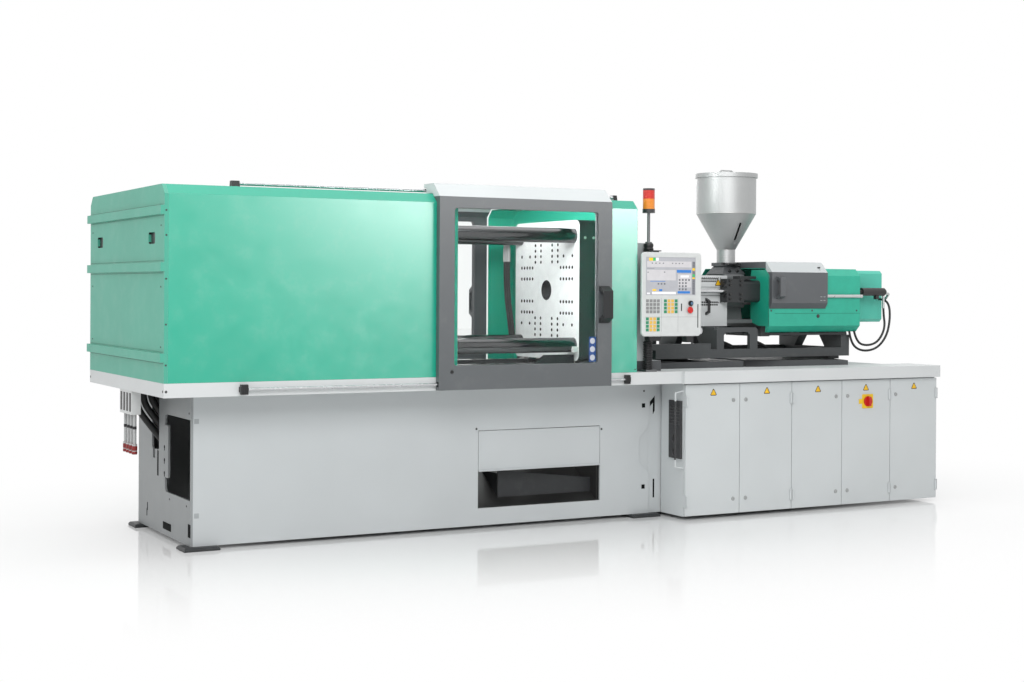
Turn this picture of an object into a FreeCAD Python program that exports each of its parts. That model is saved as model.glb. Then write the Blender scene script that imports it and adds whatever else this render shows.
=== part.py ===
import FreeCAD, Part
import math
import os

V = FreeCAD.Vector

# An injection moulding machine. X runs from the clamp unit to the injection unit along the machine axis,
# Y from the operator's side to the back, Z up. All sizes are in millimetres. The numbers are measured from
# the mould face of the fixed platen (x = 0), the machine axis (y = 0) and the floor (z = 0).

# Fits
SKIN = 3.0                 # folded sheet of covers and guards
SLIDE_GAP = 5.0            # between a sliding guard and what it passes
BODY_GAP = 0.3             # between two pieces that move on each other without guiding
RUN_FIT = 0.05             # radial play of a shaft in its bearing
SEAT_FIT = 0.02            # radial play of a fixed bar in its bore

# Base of the clamp unit
PAD_H = 20.0               # levelling pad, thickness
PAD_L = 194.0              # levelling pad, length
PAD_W = 144.0              # levelling pad, width
PAD_OUT = 46.0             # how far a pad stands out past the base
PAD_BEVEL = 9.0            # bevel round the top of a pad
BASE_LEFT = -2420.0        # end plate of the clamp base
BASE_RIGHT = 439.0         # where the injection base joins on
BASE_HALF = 501.0          # half width of both bases
BASE_H = 800.0             # height of the clamp base
BASE_WALL = 12.0           # plate of the welded bases
FRONT_SKIN = 10.0          # front plate, which has its own outline at the right
SKIN_TAIL = 51.0           # how far the front plate runs on at its top right
SKIN_TAIL_H = 78.0         # height of that tail
SKIN_NOTCH = 71.0          # depth of the notch in its right edge
SKIN_NOTCH_Z = 406.0       # height of the middle of the notch

# Openings of the base
CHUTE_LEFT = -731.0
CHUTE_RIGHT = 90.0
CHUTE_LOW = 118.0
CHUTE_TOP = 565.0
FLAP_LOW = 330.0           # lower edge of the flap over the chute opening
FLAP_T = 6.0
FLAP_GAP = 3.0             # gap round the flap
FLAP_PIN_R = 5.0
HATCH_LOW = 258.0          # hatch in the end plate
HATCH_TOP = 683.0
HATCH_R = 30.0
HATCH_EDGE = -29.0         # rear edge of the hatch
HATCH_TAB = 58.0           # how far the tab with the keyholes stands into it
HATCH_TAB_LOW = 336.0
HATCH_TAB_TOP = 622.0
HOSE_GATE_FRONT = 87.0     # hose opening in the end plate
HOSE_GATE_REAR = 227.0
HOSE_GATE_LOW = 474.0

# Tray on the base
TRAY_H = 73.0
TRAY_HALF = 757.0
TRAY_LEFT = -2640.0
TRAY_RIGHT = 500.0
TRAY_SHEET = 8.0
DROP_LEFT = -1000.0        # drop opening under the mould
DROP_RIGHT = -20.0
DROP_HALF = 250.0
BAY_HALF = 470.0           # half width of the base's own opening under the drop opening

# Height of the machine axis over the tray
FOOT_H = 54.0              # blocks under the fixed platens
PLATEN_H = 850.0
AXIS_Z = PAD_H + BASE_H + TRAY_H + FOOT_H + PLATEN_H / 2

# Covers of the clamp unit
COVER_TOP = AXIS_Z + 528.0
COVER_CHAMFER = 50.0
CLAMP_COVER_RIGHT = -996.0
NOZZLE_COVER_LEFT = -13.0
NOZZLE_COVER_RIGHT = 182.0
NOZZLE_HOLE_HALF = 300.0   # half width of the cut-out for the nozzle
NOZZLE_HOLE_LOW = AXIS_Z - 222.0
NOZZLE_HOLE_TOP = AXIS_Z + 228.0
END_PANEL_T = 20.0
STRAP_OUT = 20.0
STRAP_H = 46.0
GRIP_W = 120.0
GRIP_H = 60.0
GRIP_Z = COVER_TOP - 270.0
GRIP_Y = 530.0
GRIP_DEPTH = 14.0

# Sliding guards
GUARD_LEFT = -1128.0
GUARD_RIGHT = -20.0
GUARD_LOW = 822.0
GUARD_T = 38.0             # thickness of the door
GUARD_SHOULDER = COVER_TOP - 20.0  # where the front face turns into the slope
GUARD_TOP = COVER_TOP + 58.0
GUARD_SLOPE = 80.0         # width of the slope
GUARD_REACH = 203.0        # how far the roof reaches in from the front face
GUARD_ROOF_GAP = 3.5       # between the guard's roof and the cover's
GUARD_LIP = 22.0
GUARD_SLOT_W = 29.0        # slot in the end plates round the top rod
WINDOW_LEFT = -1036.0
WINDOW_RIGHT = -113.0
WINDOW_LOW = 955.0
WINDOW_TOP = COVER_TOP - 78.0
WINDOW_R = 18.0
PANE_T = 6.0
GUARD_HANDLE_X = -75.0
GUARD_HANDLE_W = 64.0
GUARD_HANDLE_LOW = 1186.0
GUARD_HANDLE_TOP = 1398.0
GUARD_HANDLE_OUT = 52.0

# Guard rails
TOP_RAIL_R = 10.0
TOP_RAIL_Y = 612.0
TOP_RAIL_LIFT = 21.0       # height of the top rail over the cover's roof
BOTTOM_RAIL_R = 8.0
BOTTOM_RAIL_Z = 855.0
RAIL_LEFT = -2248.0
RAIL_RIGHT = 119.0
RAIL_BLOCK_L = 43.0
RAIL_STOP_L = 28.0
BUSH_L = 40.0              # slide bushes inside the guards
BUSH_INSET = 60.0

# Clamp unit
PLATEN_W = 795.0
PLATEN_T = 134.0
PLATEN_R = 40.0
CENTRING_R = 62.5
NOZZLE_WELL_R = 100.0      # well in the back of the fixed platen for the barrel's end
NOZZLE_WELL = 50.0
TIE_SPAN = 330.0           # from the axis to a tie bar, both ways
TIE_R = 45.0
TIE_NUT_R = 68.0
TIE_NUT_T = 38.0
TAP_R = 7.0                # core of the tapped holes
TAP_DEPTH = 45.0
TAP_STEP = 70.0            # pitch of the hole grid
TAP_ROWS = 4               # the outer row, in steps from the axis
MOULD_FACE = -850.0        # mould face of the moving platen when open
MOVING_T = 120.0
YOKE_GAP = 180.0           # between the moving platen and its yoke plate
YOKE_T = 60.0
PILLAR_HALF = 36.0
PILLAR_SPAN = 205.0
CLAMP_STROKE = 550.0
CYLINDER_FACE = -1600.0    # front face of the cylinder platen
CYLINDER_PLATEN_T = 200.0
GLAND_T = 100.0            # part of it that guides the rod
CYLINDER_R = 190.0
CYLINDER_BORE = 132.0
CYLINDER_LEFT = -2400.0
CYLINDER_CAP = 40.0
PISTON_ROD_R = 80.0
PISTON_T = 60.0
PISTON_END = 30.0          # from the cap to the piston when open
RAIL_Y = 287.0             # platen slideways
RAIL_W = 50.0
RAIL_H = 42.0
FOOT_W = 110.0             # blocks under the fixed platens
EJECTOR_T = 20.0
EJECTOR_HALF = 150.0
EJECTOR_BACK = 5.0         # from the yoke to the ejector plate at rest
EJECTOR_ROD_R = 22.0
EJECTOR_PIN_R = 12.0
EJECTOR_PIN_SPAN = 105.0
EJECTOR_STROKE = 140.0

# Injection base and bed
INJ_RIGHT = 2520.0
INJ_FRONT = 490.0          # half width towards the operator
INJ_TOP = PAD_H + BASE_H + 58.0
BED_PLATE_T = 45.0         # plate that carries the swivel
BED_PLATE_LEFT = 600.0
BED_PLATE_RIGHT = 1293.0
SWIVEL_X = 950.0
SWIVEL_R = 100.0
SWIVEL_T = 22.0
TRACK_T = 44.0
TRACK_IN = 480.0           # inner radius of the curved track
TRACK_OUT = 1170.0
TRACK_HALF = 24.0          # half angle of the track, degrees
BEAM_RIGHT = 2152.0
BEAM_HALF = 330.0          # front face of the bed's beams
BEAM_W = 60.0
BEAM_H = 55.0
PORTAL_LEFT = 1067.0
PORTAL_RIGHT = 1389.0
PORTAL_LEG = 55.0
PORTAL_H = 139.0           # height over the beams
PORTAL_BAR = 29.0          # depth over the arch
PORTAL_T = 30.0
POST_LEFT = BEAM_RIGHT - 69.0
COLUMN_R = 22.0
COLUMN_Y = 150.0
COLUMN_UP = 115.0          # columns, height over the beams
YOKE_LEFT = 561.0
YOKE_W = 40.0
ARM_RIGHT = 1020.0
ARM_H = 38.0

# Injection unit
ROD_Y = 250.0              # approach rods
ROD_R = 14.0
ROD_NUT_R = 20.0           # across the corners of the nut behind the yoke
ROD_END = 1380.0
HEAD_LEFT = 1180.0
HEAD_RIGHT = 1315.0
HEAD_LOW = AXIS_Z - 72.0
HEAD_TOP = AXIS_Z + 80.0
HEAD_OUT = 280.0
HEAD_W = 60.0
BLOCK_RIGHT = 1474.0
BLOCK_H = 143.0
TUBE_R = 30.0
TUBE_BORE = 20.0
TUBE_RIGHT = 1820.0
APPROACH = 380.0
CARRIAGE_LEFT = 1520.0
CARRIAGE_RIGHT = 1840.0
SEAT_LEFT = 1290.0         # housing at the feed end of the barrel
SEAT_RIGHT = 1440.0
SEAT_HALF = 120.0
SEAT_LOW = AXIS_Z - 110.0
SEAT_TOP = AXIS_Z + 112.0
BARREL_R = 62.0
BARREL_BORE = 25.0
BARREL_LEFT = 560.0
BAND_R = 80.0
BAND_L = 196.0
BAND_STEP = 210.0
BAND_COUNT = 3
NOZZLE_TIP = 400.0
NOZZLE_R = 22.0
NOZZLE_BORE = 3.0
SCREW_R = 17.0
SCREW_FLIGHT_R = 24.9
SCREW_TIP = 600.0
CROSS_LEFT = 1560.0
CROSS_T = 70.0
MOTOR_R = 88.0
MOTOR_RIGHT = 1790.0
INJECTION_STROKE = 160.0
THROAT_LOW_HALF = 93.0
THROAT_TOP_HALF = 58.0
THROAT_TOP = AXIS_Z + 166.0
FEED_X = 1375.0
FEED_R = 30.0
GATE_HALF = 68.0
GATE_H = 22.0
GATE_SLIDE_T = 6.0
GATE_STROKE = 60.0
SIGHT_HALF = 8.0           # half width of the hopper's sight slot
SIGHT_IN = 62.0            # from the cone's ends to the slot's

# Barrel guard
SHIELD_LEFT = 760.0
SHIELD_RIGHT = 1240.0
SHIELD_HALF = 200.0
SHIELD_LOW = AXIS_Z - 227.0
SHIELD_TOP = AXIS_Z + 101.0
SHIELD_TRAVEL = 190.0
VENT = 8.0
VENT_STEP = 16.0
VENT_LEFT = 1041.0
VENT_COUNT = 10
SHIELD_BAR_X = 1073.0
SHIELD_BAR_LOW = AXIS_Z - 155.0
SHIELD_BAR_TOP = AXIS_Z - 45.0  # Hopper
HOPPER_R = 197.0
HOPPER_RIM = AXIS_Z + 765.0
HOPPER_CONE_TOP = AXIS_Z + 512.0
HOPPER_CONE_LOW = AXIS_Z + 273.0
HOPPER_NECK_R = 61.0
LID_R = 207.0
LID_H = 16.0
LID_T = 12.0
LID_HANDLE_W = 110.0
LID_HANDLE_H = 26.0

# Covers of the injection unit
UNIT_LEFT = 1445.0
UNIT_RIGHT = 2204.0
UNIT_HALF = 376.0
UNIT_LOW = AXIS_Z - 271.0
UNIT_TOP = AXIS_Z + 151.0
UNIT_CHAMFER = 46.0
DRIVE_RIGHT = 2523.0
DRIVE_HALF = 230.0
DRIVE_LOW = AXIS_Z - 205.0
DRIVE_TOP = AXIS_Z + 144.0
DRIVE_CHAMFER = 20.0
HOOD_LEFT = 1445.0
HOOD_RIGHT = 1903.0
HOOD_OUT = 406.0
HOOD_LOW = AXIS_Z - 111.0
HOOD_FACE_LOW = AXIS_Z - 75.0
HOOD_FACE_TOP = AXIS_Z + 124.0
HOOD_TOP = AXIS_Z + 192.0
HOOD_SLOPE = 67.0
HOOD_REACH = 140.0
HOOD_TRAVEL = 290.0
HOOD_GRIP_X = 1501.0
HOOD_GRIP_LOW = AXIS_Z - 49.0
HOOD_GRIP_TOP = AXIS_Z + 99.0
HOOD_RAIL_Y = 389.0
HOOD_RAIL_Z = AXIS_Z - 29.0
HOOD_RAIL_R = 11.0
HOOD_RAIL_LEFT = 1875.0
HOOD_RAIL_RIGHT = 2210.0
HOOD_BLOCK_L = 10.0        # blocks at the ends of the rail
SMALL_CYLINDER_R = 27.0
SMALL_CYLINDER_LEFT = 2254.0
SMALL_CYLINDER_RIGHT = 2464.0
PIPE_Y = 330.0
HOSE_R = 6.5

# Electrical cabinet
CABINET_LEFT = 530.0
SLAB_TOP = PAD_H + BASE_H + TRAY_H
SLAB_T = 75.0              # slab over the cabinet
DOOR_PITCH = 400.0
DOOR_COUNT = 5
DOOR_GAP = 4.0
DOOR_T = 20.0
DOOR_FACE = 757.0
DOOR_LOW = 24.0
DOOR_TOP = SLAB_TOP - SLAB_T - 8.0
DOOR_BACK_GAP = 2.0
CABINET_BACK = 501.0
CABINET_LOW = 20.0
CABINET_WALL = 15.0
CABINET_TOP = SLAB_TOP - SLAB_T
HINGE_IN = 8.0             # from the door's edge to the hinge axis
HINGE_OUT = 6.0            # from the door's face to the hinge axis
HINGE_R = 6.0
HINGE_PIN_R = 3.0
HINGE_L = 60.0
HINGE_LEAF = 1.2
HINGE_HIGH = 711.0
HINGE_DOWN = 111.0
SLAB_FRONT = 790.0
SOCKET_LOW = 365.0
SOCKET_TOP = 713.0
SOCKET_FRONT = 725.0
SOCKET_REAR = 598.0
SOCKET_H = 12.0
GUARD_WIRE_R = 4.0
GUARD_WIRE_LOW = 306.0
GUARD_WIRE_TOP = 779.0
GUARD_WIRE_OUT = 62.0
SWITCH_X = 1940.0
SWITCH_Z = 673.0
SWITCH_PLATE = 90.0
SWITCH_PLATE_T = 3.0
SWITCH_R = 32.5
SWITCH_H = 26.0

# Post, lamp and control panel
POST_X = 300.0
POST_Y = -695.0
POST_R = 19.0
POST_FOOT = 76.0
POST_FOOT_T = 12.0
POST_TOP = 1611.0
BOSS_R = 20.0
BOSS_TOP = 1662.0
STEM_R = 9.0
LAMP_R = 37.5
LAMP_LOW = 1833.0
LAMP_BASE = 1858.0
LAMP_TOP = 1979.0
LAMP_GROOVE = 2.0
DUCT_X = 260.0
DUCT_Y = -610.0
DUCT_HALF = 45.0
DUCT_LOW = 955.0
DUCT_TOP = 1656.0
DUCT_FOOT_RIGHT = 420.0
PANEL_LEFT = 195.0
PANEL_RIGHT = 617.0
PANEL_LOW = 1104.0
PANEL_TOP = 1600.0
PANEL_FRONT = -790.0
PANEL_T = 68.0
PANEL_RIM = 18.0           # depth of the front shell
PANEL_BACK_IN = 40.0       # from the front shell's outline to the rear box
PANEL_R = 25.0
ARM_T = 6.0
ARM_RIM = 12.0             # metal round the post in the arm and the clip
ARM_LEFT = 250.0
ARM_END = 335.0
SCREEN_LEFT = 220.0
SCREEN_RIGHT = 575.0
SCREEN_LOW = 1347.0
SCREEN_TOP = 1571.0
SCREEN_IN = 3.0
KEY_LEFT = 222.0
KEY_PITCH = 25.5
KEY_RISE = 21.5
KEY_H = 17.0
KEY_SIZE = 19.0
KEY_T = 2.0
STOP_X = 528.0
STOP_Z = 1259.0
STOP_R = 20.0
STOP_H = 22.0
STOP_STEM = 16.0
STOP_TRAVEL = 6.0
MODE_X = 537.0
MODE_Z = 1299.0
MODE_R = 16.0

# Flow meters and hoses at the clamp end
METER_X = -2605.0
METER_Y = 0.0
METER_LOW = 475.0
METER_W = 240.0
METER_T = 50.0
METER_COUNT = 4
METER_BLOCK_H = 130.0
METER_TUBE_R = 10.0
METER_KNOB_R = 14.0
METER_KNOB_H = 55.0
THICK_HOSE_R = 19.0
HOSE_DROP_IN = 115.0       # from the tray's end to the first thick hose
HOSE_DROP_STEP = 42.0
HOSE_SIDES = 6             # flat sides of a hose's section

# Sizes that follow from those above
BASE_TOP = PAD_H + BASE_H
TRAY_TOP = BASE_TOP + TRAY_H
PLATEN_LOW = AXIS_Z - PLATEN_H / 2
TIE_LOW = AXIS_Z - TIE_SPAN
TIE_HIGH = AXIS_Z + TIE_SPAN
CYLINDER_BACK = CYLINDER_FACE - CYLINDER_PLATEN_T
YOKE_FACE = MOULD_FACE - MOVING_T - YOKE_GAP
YOKE_BACK = YOKE_FACE - YOKE_T
RAIL_TOP = TRAY_TOP + RAIL_H
GUARD_FRONT = TRAY_HALF + SLIDE_GAP + GUARD_T
GUARD_BACK = TRAY_HALF + SLIDE_GAP
ROOF_LOW = COVER_TOP + GUARD_ROOF_GAP
TOP_RAIL_Z = COVER_TOP + TOP_RAIL_LIFT
BOTTOM_RAIL_Y = GUARD_FRONT - GUARD_T / 2
BED_TOP = INJ_TOP + BED_PLATE_T
BEAM_LOW = BED_TOP + SWIVEL_T
BEAM_TOP_Z = BEAM_LOW + BEAM_H
PORTAL_TOP = BEAM_TOP_Z + PORTAL_H
PORTAL_ARCH = PORTAL_TOP - PORTAL_BAR
COLUMN_Z = BEAM_TOP_Z + COLUMN_UP

nodes = {}


def box(x0, x1, y0, y1, z0, z1):
    return Part.makeBox(x1 - x0, y1 - y0, z1 - z0, V(x0, y0, z0))


def bar_x(x0, x1, y, z, r):
    return Part.makeCylinder(r, x1 - x0, V(x0, y, z), V(1, 0, 0))


def bar_y(y0, y1, x, z, r):
    return Part.makeCylinder(r, y1 - y0, V(x, y0, z), V(0, 1, 0))


def bar_z(z0, z1, x, y, r):
    return Part.makeCylinder(r, z1 - z0, V(x, y, z0), V(0, 0, 1))


def outline_x(points, x0, x1):
    """A closed outline of (y, z) points, drawn out along X."""
    corners = [V(x0, y, z) for y, z in points]
    return Part.Face(Part.makePolygon(corners + corners[:1])).extrude(V(x1 - x0, 0, 0))


def outline_y(points, y0, y1):
    """A closed outline of (x, z) points, drawn out along Y."""
    corners = [V(x, y0, z) for x, z in points]
    return Part.Face(Part.makePolygon(corners + corners[:1])).extrude(V(0, y1 - y0, 0))


def round_along(shape, direction, radius):
    """Rounds every straight edge that runs along a direction."""
    chosen = []
    for edge in shape.Edges:
        if edge.Curve.TypeId == "Part::GeomLine":
            if abs(edge.tangentAt(edge.FirstParameter).dot(direction)) > 0.999:
                chosen.append(edge)
    return shape.makeFillet(radius, chosen)


def rounded_x(x0, x1, y0, y1, z0, z1, r):
    return round_along(box(x0, x1, y0, y1, z0, z1), V(1, 0, 0), r)


def rounded_y(x0, x1, y0, y1, z0, z1, r):
    return round_along(box(x0, x1, y0, y1, z0, z1), V(0, 1, 0), r)


def rounded_z(x0, x1, y0, y1, z0, z1, r):
    return round_along(box(x0, x1, y0, y1, z0, z1), V(0, 0, 1), r)


def join(pieces):
    first = pieces[0]
    rest = pieces[1:]
    return first.fuse(rest).removeSplitter() if rest else first


def cut(shape, tools):
    return shape.cut(tools)


def group(pieces):
    """Several separate pieces of one kind, kept as one sub-part."""
    return Part.makeCompound(pieces)


def to_rear(shape):
    """The mirror image on the other side of the machine axis."""
    return shape.mirror(V(0, 0, 0), V(0, 1, 0))


def both_sides(shape):
    return [shape, to_rear(shape)]


def tunnel(half, low, top, chamfer, x0, x1):
    """A long housing with chamfered top corners."""
    edge = half - chamfer
    shoulder = top - chamfer
    points = [(-half, low), (-half, shoulder), (-edge, top), (edge, top), (half, shoulder), (half, low)]
    return outline_x(points, x0, x1)


def hose(points, radius, share=0.45):
    """A hose along straight runs joined by tangent arcs, flat-sided, with the round one's area."""
    stops = [V(*p) for p in points]
    edges = []
    radii = []
    start = stops[0]
    for i in range(1, len(stops) - 1):
        before = stops[i] - stops[i - 1]
        after = stops[i + 1] - stops[i]
        shorter = min(before.Length, after.Length)
        turn = before.getAngle(after)
        reach = shorter * share
        radii.append(round(reach / math.tan(turn / 2)))
        to_here = V(before).normalize()
        onward = V(after).normalize()
        a = stops[i] - to_here * reach
        b = stops[i] + onward * reach
        middle = (a + b) * 0.5
        inward = (middle - stops[i]).normalize()
        arc_r = reach / math.tan(turn / 2)
        middle = stops[i] + inward * (math.hypot(arc_r, reach) - arc_r)
        edges.append(Part.LineSegment(start, a).toShape())
        edges.append(Part.Arc(a, middle, b).toShape())
        start = b
    edges.append(Part.LineSegment(start, stops[-1]).toShape())
    path = Part.Wire(edges)
    heading = (stops[1] - stops[0]).normalize()
    side = V(1, 0, 0) if abs(heading.y) > 0.7 else V(0, 1, 0)
    across = side.cross(heading).normalize()
    up = heading.cross(across)
    reach = radius * math.sqrt(math.pi / (HOSE_SIDES / 2 * math.sin(2 * math.pi / HOSE_SIDES)))
    corners = []
    for k in range(HOSE_SIDES + 1):
        angle = 2 * math.pi * (k % HOSE_SIDES) / HOSE_SIDES
        corners.append(stops[0] + across * (reach * math.cos(angle)) + up * (reach * math.sin(angle)))
    tube = path.makePipeShell([Part.makePolygon(corners)], True, False)
    print("hose arcs, radius", radii, "volume over section times length",
          round(tube.Volume / (math.pi * radius ** 2 * path.Length), 4))
    return tube


# Clamp side ------------------------------------------------------------------------------------------------

def make_machine_base():
    """Welded box with a bay for the chute, and a front plate with its own outline at the right."""
    inner_front = -BASE_HALF + FRONT_SKIN
    body = box(BASE_LEFT, BASE_RIGHT, inner_front, BASE_HALF, PAD_H, BASE_TOP)
    inside = BASE_HALF - BASE_WALL
    front_in = inner_front + BASE_WALL
    ceiling = BASE_TOP - BASE_WALL
    floor = PAD_H + BASE_WALL
    left_bay = box(BASE_LEFT + BASE_WALL, CHUTE_LEFT - BASE_WALL, front_in, inside, floor, ceiling)
    right_bay = box(CHUTE_RIGHT + BASE_WALL, BASE_RIGHT - BASE_WALL, front_in, inside, floor, ceiling)
    chute_bay = box(CHUTE_LEFT, CHUTE_RIGHT, front_in, inside, floor, ceiling)
    front_plate = outline_y(front_outline(), -BASE_HALF, inner_front)
    body = join([body, front_plate])
    opening = box(CHUTE_LEFT, CHUTE_RIGHT, -BASE_HALF - 1, front_in + 1, CHUTE_LOW, CHUTE_TOP)
    rear_opening = box(CHUTE_LEFT, CHUTE_RIGHT, inside - 1, BASE_HALF + 1, CHUTE_LOW, CHUTE_TOP)
    drop = box(CHUTE_LEFT, min(CHUTE_RIGHT, DROP_RIGHT), -BAY_HALF, BAY_HALF, ceiling - 1, BASE_TOP + 1)
    tools = [left_bay, right_bay, chute_bay, opening, rear_opening, drop]
    return cut(body, tools + end_plate_openings())


def front_outline():
    tail_low = BASE_TOP - SKIN_TAIL_H
    slope_end = tail_low - SKIN_TAIL
    notch_x = BASE_RIGHT - SKIN_NOTCH
    return [
        (BASE_LEFT, PAD_H),
        (BASE_RIGHT, PAD_H),
        (BASE_RIGHT, SKIN_NOTCH_Z - 2 * SKIN_NOTCH),
        (notch_x, SKIN_NOTCH_Z - SKIN_NOTCH),
        (notch_x, SKIN_NOTCH_Z + SKIN_NOTCH),
        (BASE_RIGHT, SKIN_NOTCH_Z + 2 * SKIN_NOTCH),
        (BASE_RIGHT, slope_end),
        (BASE_RIGHT + SKIN_TAIL, tail_low),
        (BASE_RIGHT + SKIN_TAIL, BASE_TOP),
        (BASE_LEFT, BASE_TOP),
    ]


def end_plate_openings():
    """The hatch with its tab, the hose opening, and the pockets of the lower cross beam."""
    x0 = BASE_LEFT - 1
    x1 = BASE_LEFT + BASE_WALL + 1
    front = -BASE_HALF + FRONT_SKIN
    hatch = rounded_x(x0, x1, front, HATCH_EDGE, HATCH_LOW, HATCH_TOP, HATCH_R)
    tab = box(x0, x1, HATCH_EDGE - HATCH_TAB, HATCH_EDGE, HATCH_TAB_LOW, HATCH_TAB_TOP)
    corners = box(x0, x1, front, front + 2 * HATCH_R, HATCH_LOW, HATCH_TOP)
    hatch = join([hatch, corners]).cut(tab)
    hose_gate = rounded_x(x0, x1, HOSE_GATE_FRONT, HOSE_GATE_REAR, HOSE_GATE_LOW, BASE_TOP - 30, 20)
    slot = box(x0, x1, HOSE_GATE_REAR - 61, HOSE_GATE_REAR - 20, HOSE_GATE_LOW - 52, HOSE_GATE_LOW + 30)
    long_pocket = box(x0, x1, -151, 2, 51, 91)
    return [hatch, hose_gate, slot, long_pocket]


def make_levelling_feet():
    """Bevelled pads at the corners of both bases."""
    pad = box(0, PAD_L, 0, PAD_W, 0, PAD_H)
    rim = [e for e in pad.Edges if abs(e.CenterOfMass.z - PAD_H) < 0.01]
    pad = pad.makeChamfer(PAD_BEVEL, rim)
    side = -BASE_HALF - PAD_OUT
    lefts = [BASE_LEFT - PAD_OUT, BASE_RIGHT - PAD_L + PAD_OUT + 12, INJ_RIGHT - PAD_L - PAD_OUT]
    pads = []
    for x in lefts:
        front = pad.copy()
        front.translate(V(x, side, 0))
        pads.extend(both_sides(front))
    return group(pads)


def make_clamp_tray():
    """Drip tray: a closed box section with a walled drop opening under the mould."""
    outer = box(TRAY_LEFT, TRAY_RIGHT, -TRAY_HALF, TRAY_HALF, BASE_TOP, TRAY_TOP)
    low = BASE_TOP + TRAY_SHEET
    high = TRAY_TOP - TRAY_SHEET
    edge = TRAY_HALF - TRAY_SHEET
    left = box(TRAY_LEFT + TRAY_SHEET, DROP_LEFT - TRAY_SHEET, -edge, edge, low, high)
    right = box(DROP_RIGHT + TRAY_SHEET, TRAY_RIGHT - TRAY_SHEET, -edge, edge, low, high)
    front = box(DROP_LEFT, DROP_RIGHT, -edge, -DROP_HALF - TRAY_SHEET, low, high)
    drop = box(DROP_LEFT, DROP_RIGHT, -DROP_HALF, DROP_HALF, BASE_TOP - 1, TRAY_TOP + 1)
    return cut(outer, [left, right, drop] + both_sides(front))


def make_parts_chute():
    """Sloping sheet that leads the parts from the drop opening to the front."""
    x0 = CHUTE_LEFT + SLIDE_GAP
    x1 = CHUTE_RIGHT - SLIDE_GAP
    back = BASE_HALF - BASE_WALL
    front = -BASE_HALF + FRONT_SKIN + BASE_WALL
    low = CHUTE_LOW - 2 * FLAP_T
    high = BASE_TOP - 4 * BASE_WALL
    floor = outline_x([(front, low), (front, low + SKIN), (back, high), (back, high - SKIN)], x0, x1)
    side = outline_x([(front, low), (front, CHUTE_TOP), (back, high), (back, high - SKIN)], x0, x0 + SKIN)
    other = side.copy()
    other.translate(V(x1 - x0 - SKIN, 0, 0))
    legs = box(x0, x1, back - 40, back - 20, PAD_H + BASE_WALL, CHUTE_TOP - 30)
    points = [(front - 1, low), (back, high - SKIN), (back, BASE_TOP), (front - 1, BASE_TOP)]
    under = outline_x(points, x0, x1)
    return join([floor, side, other, cut(legs, [under])])


def make_chute_flap():
    """Hanging flap over the upper half of the chute opening, with a rolled top edge on its pin."""
    x0 = CHUTE_LEFT + FLAP_GAP
    x1 = CHUTE_RIGHT - FLAP_GAP
    front = -BASE_HALF
    pin_z = CHUTE_TOP - FLAP_GAP - FLAP_PIN_R
    sheet = box(x0, x1, front, front + FLAP_T, FLAP_LOW, pin_z)
    roll = bar_x(x0, x1, front + FLAP_PIN_R, pin_z, FLAP_PIN_R)
    lip = box(x0, x1, front - 12, front, FLAP_LOW, FLAP_LOW + FLAP_T)
    return join([sheet, roll, lip])


def make_clamp_cover():
    cavity = tunnel(TRAY_HALF - SKIN, TRAY_TOP - 1, COVER_TOP - SKIN, COVER_CHAMFER - SKIN / 2,
                    TRAY_LEFT + END_PANEL_T - 1, CLAMP_COVER_RIGHT + 1)
    shell = tunnel(TRAY_HALF, TRAY_TOP, COVER_TOP, COVER_CHAMFER, TRAY_LEFT + END_PANEL_T, CLAMP_COVER_RIGHT)
    return cut(shell, [cavity])


def make_clamp_end_panel():
    """End panel with three straps that stand proud and two recessed grips."""
    panel = tunnel(TRAY_HALF, TRAY_TOP, COVER_TOP, COVER_CHAMFER, TRAY_LEFT, TRAY_LEFT + END_PANEL_T)
    pieces = [panel]
    for z in (1022.0, 1480.0, 1768.0):
        strap = box(TRAY_LEFT - STRAP_OUT, TRAY_LEFT, -TRAY_HALF, TRAY_HALF, z - STRAP_H / 2, z + STRAP_H / 2)
        pieces.append(strap)
    grips = []
    for side in (-1, 1):
        y = side * GRIP_Y
        grips.append(rounded_x(TRAY_LEFT - 1, TRAY_LEFT + GRIP_DEPTH, y - GRIP_W / 2, y + GRIP_W / 2,
                               GRIP_Z - GRIP_H / 2, GRIP_Z + GRIP_H / 2, 14))
    return cut(join(pieces), grips)


def make_nozzle_side_cover():
    """Short cover round the fixed platen, with a cut-out in its end wall for the nozzle."""
    shell = tunnel(TRAY_HALF, TRAY_TOP, COVER_TOP, COVER_CHAMFER, NOZZLE_COVER_LEFT, NOZZLE_COVER_RIGHT)
    cavity = tunnel(TRAY_HALF - SKIN, TRAY_TOP - 1, COVER_TOP - SKIN, COVER_CHAMFER - SKIN / 2,
                    NOZZLE_COVER_LEFT - 1, NOZZLE_COVER_RIGHT - SKIN)
    window = rounded_x(NOZZLE_COVER_RIGHT - SKIN - 1, NOZZLE_COVER_RIGHT + 1, -NOZZLE_HOLE_HALF,
                       NOZZLE_HOLE_HALF, NOZZLE_HOLE_LOW, NOZZLE_HOLE_TOP, 20)
    return cut(shell, [cavity, window])


def guard_outline(inset):
    """Section of a guard: a door with a sloped shoulder and a roof that hooks over the top rail."""
    front = -GUARD_FRONT
    edge = front + GUARD_SLOPE
    reach = front + GUARD_REACH
    back = -GUARD_BACK
    drop = GUARD_T * 1.35
    roof = ROOF_LOW + inset
    k = inset
    h = inset * 0.41
    return [
        (front + k, GUARD_LOW + k),
        (front + k, GUARD_SHOULDER - h),
        (edge + h, GUARD_TOP - k),
        (reach - k, GUARD_TOP - k),
        (reach - k, roof),
        (back + drop + 7 - h, roof),
        (back - k, ROOF_LOW - drop + h),
        (back - k, GUARD_LOW + k),
    ]


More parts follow.
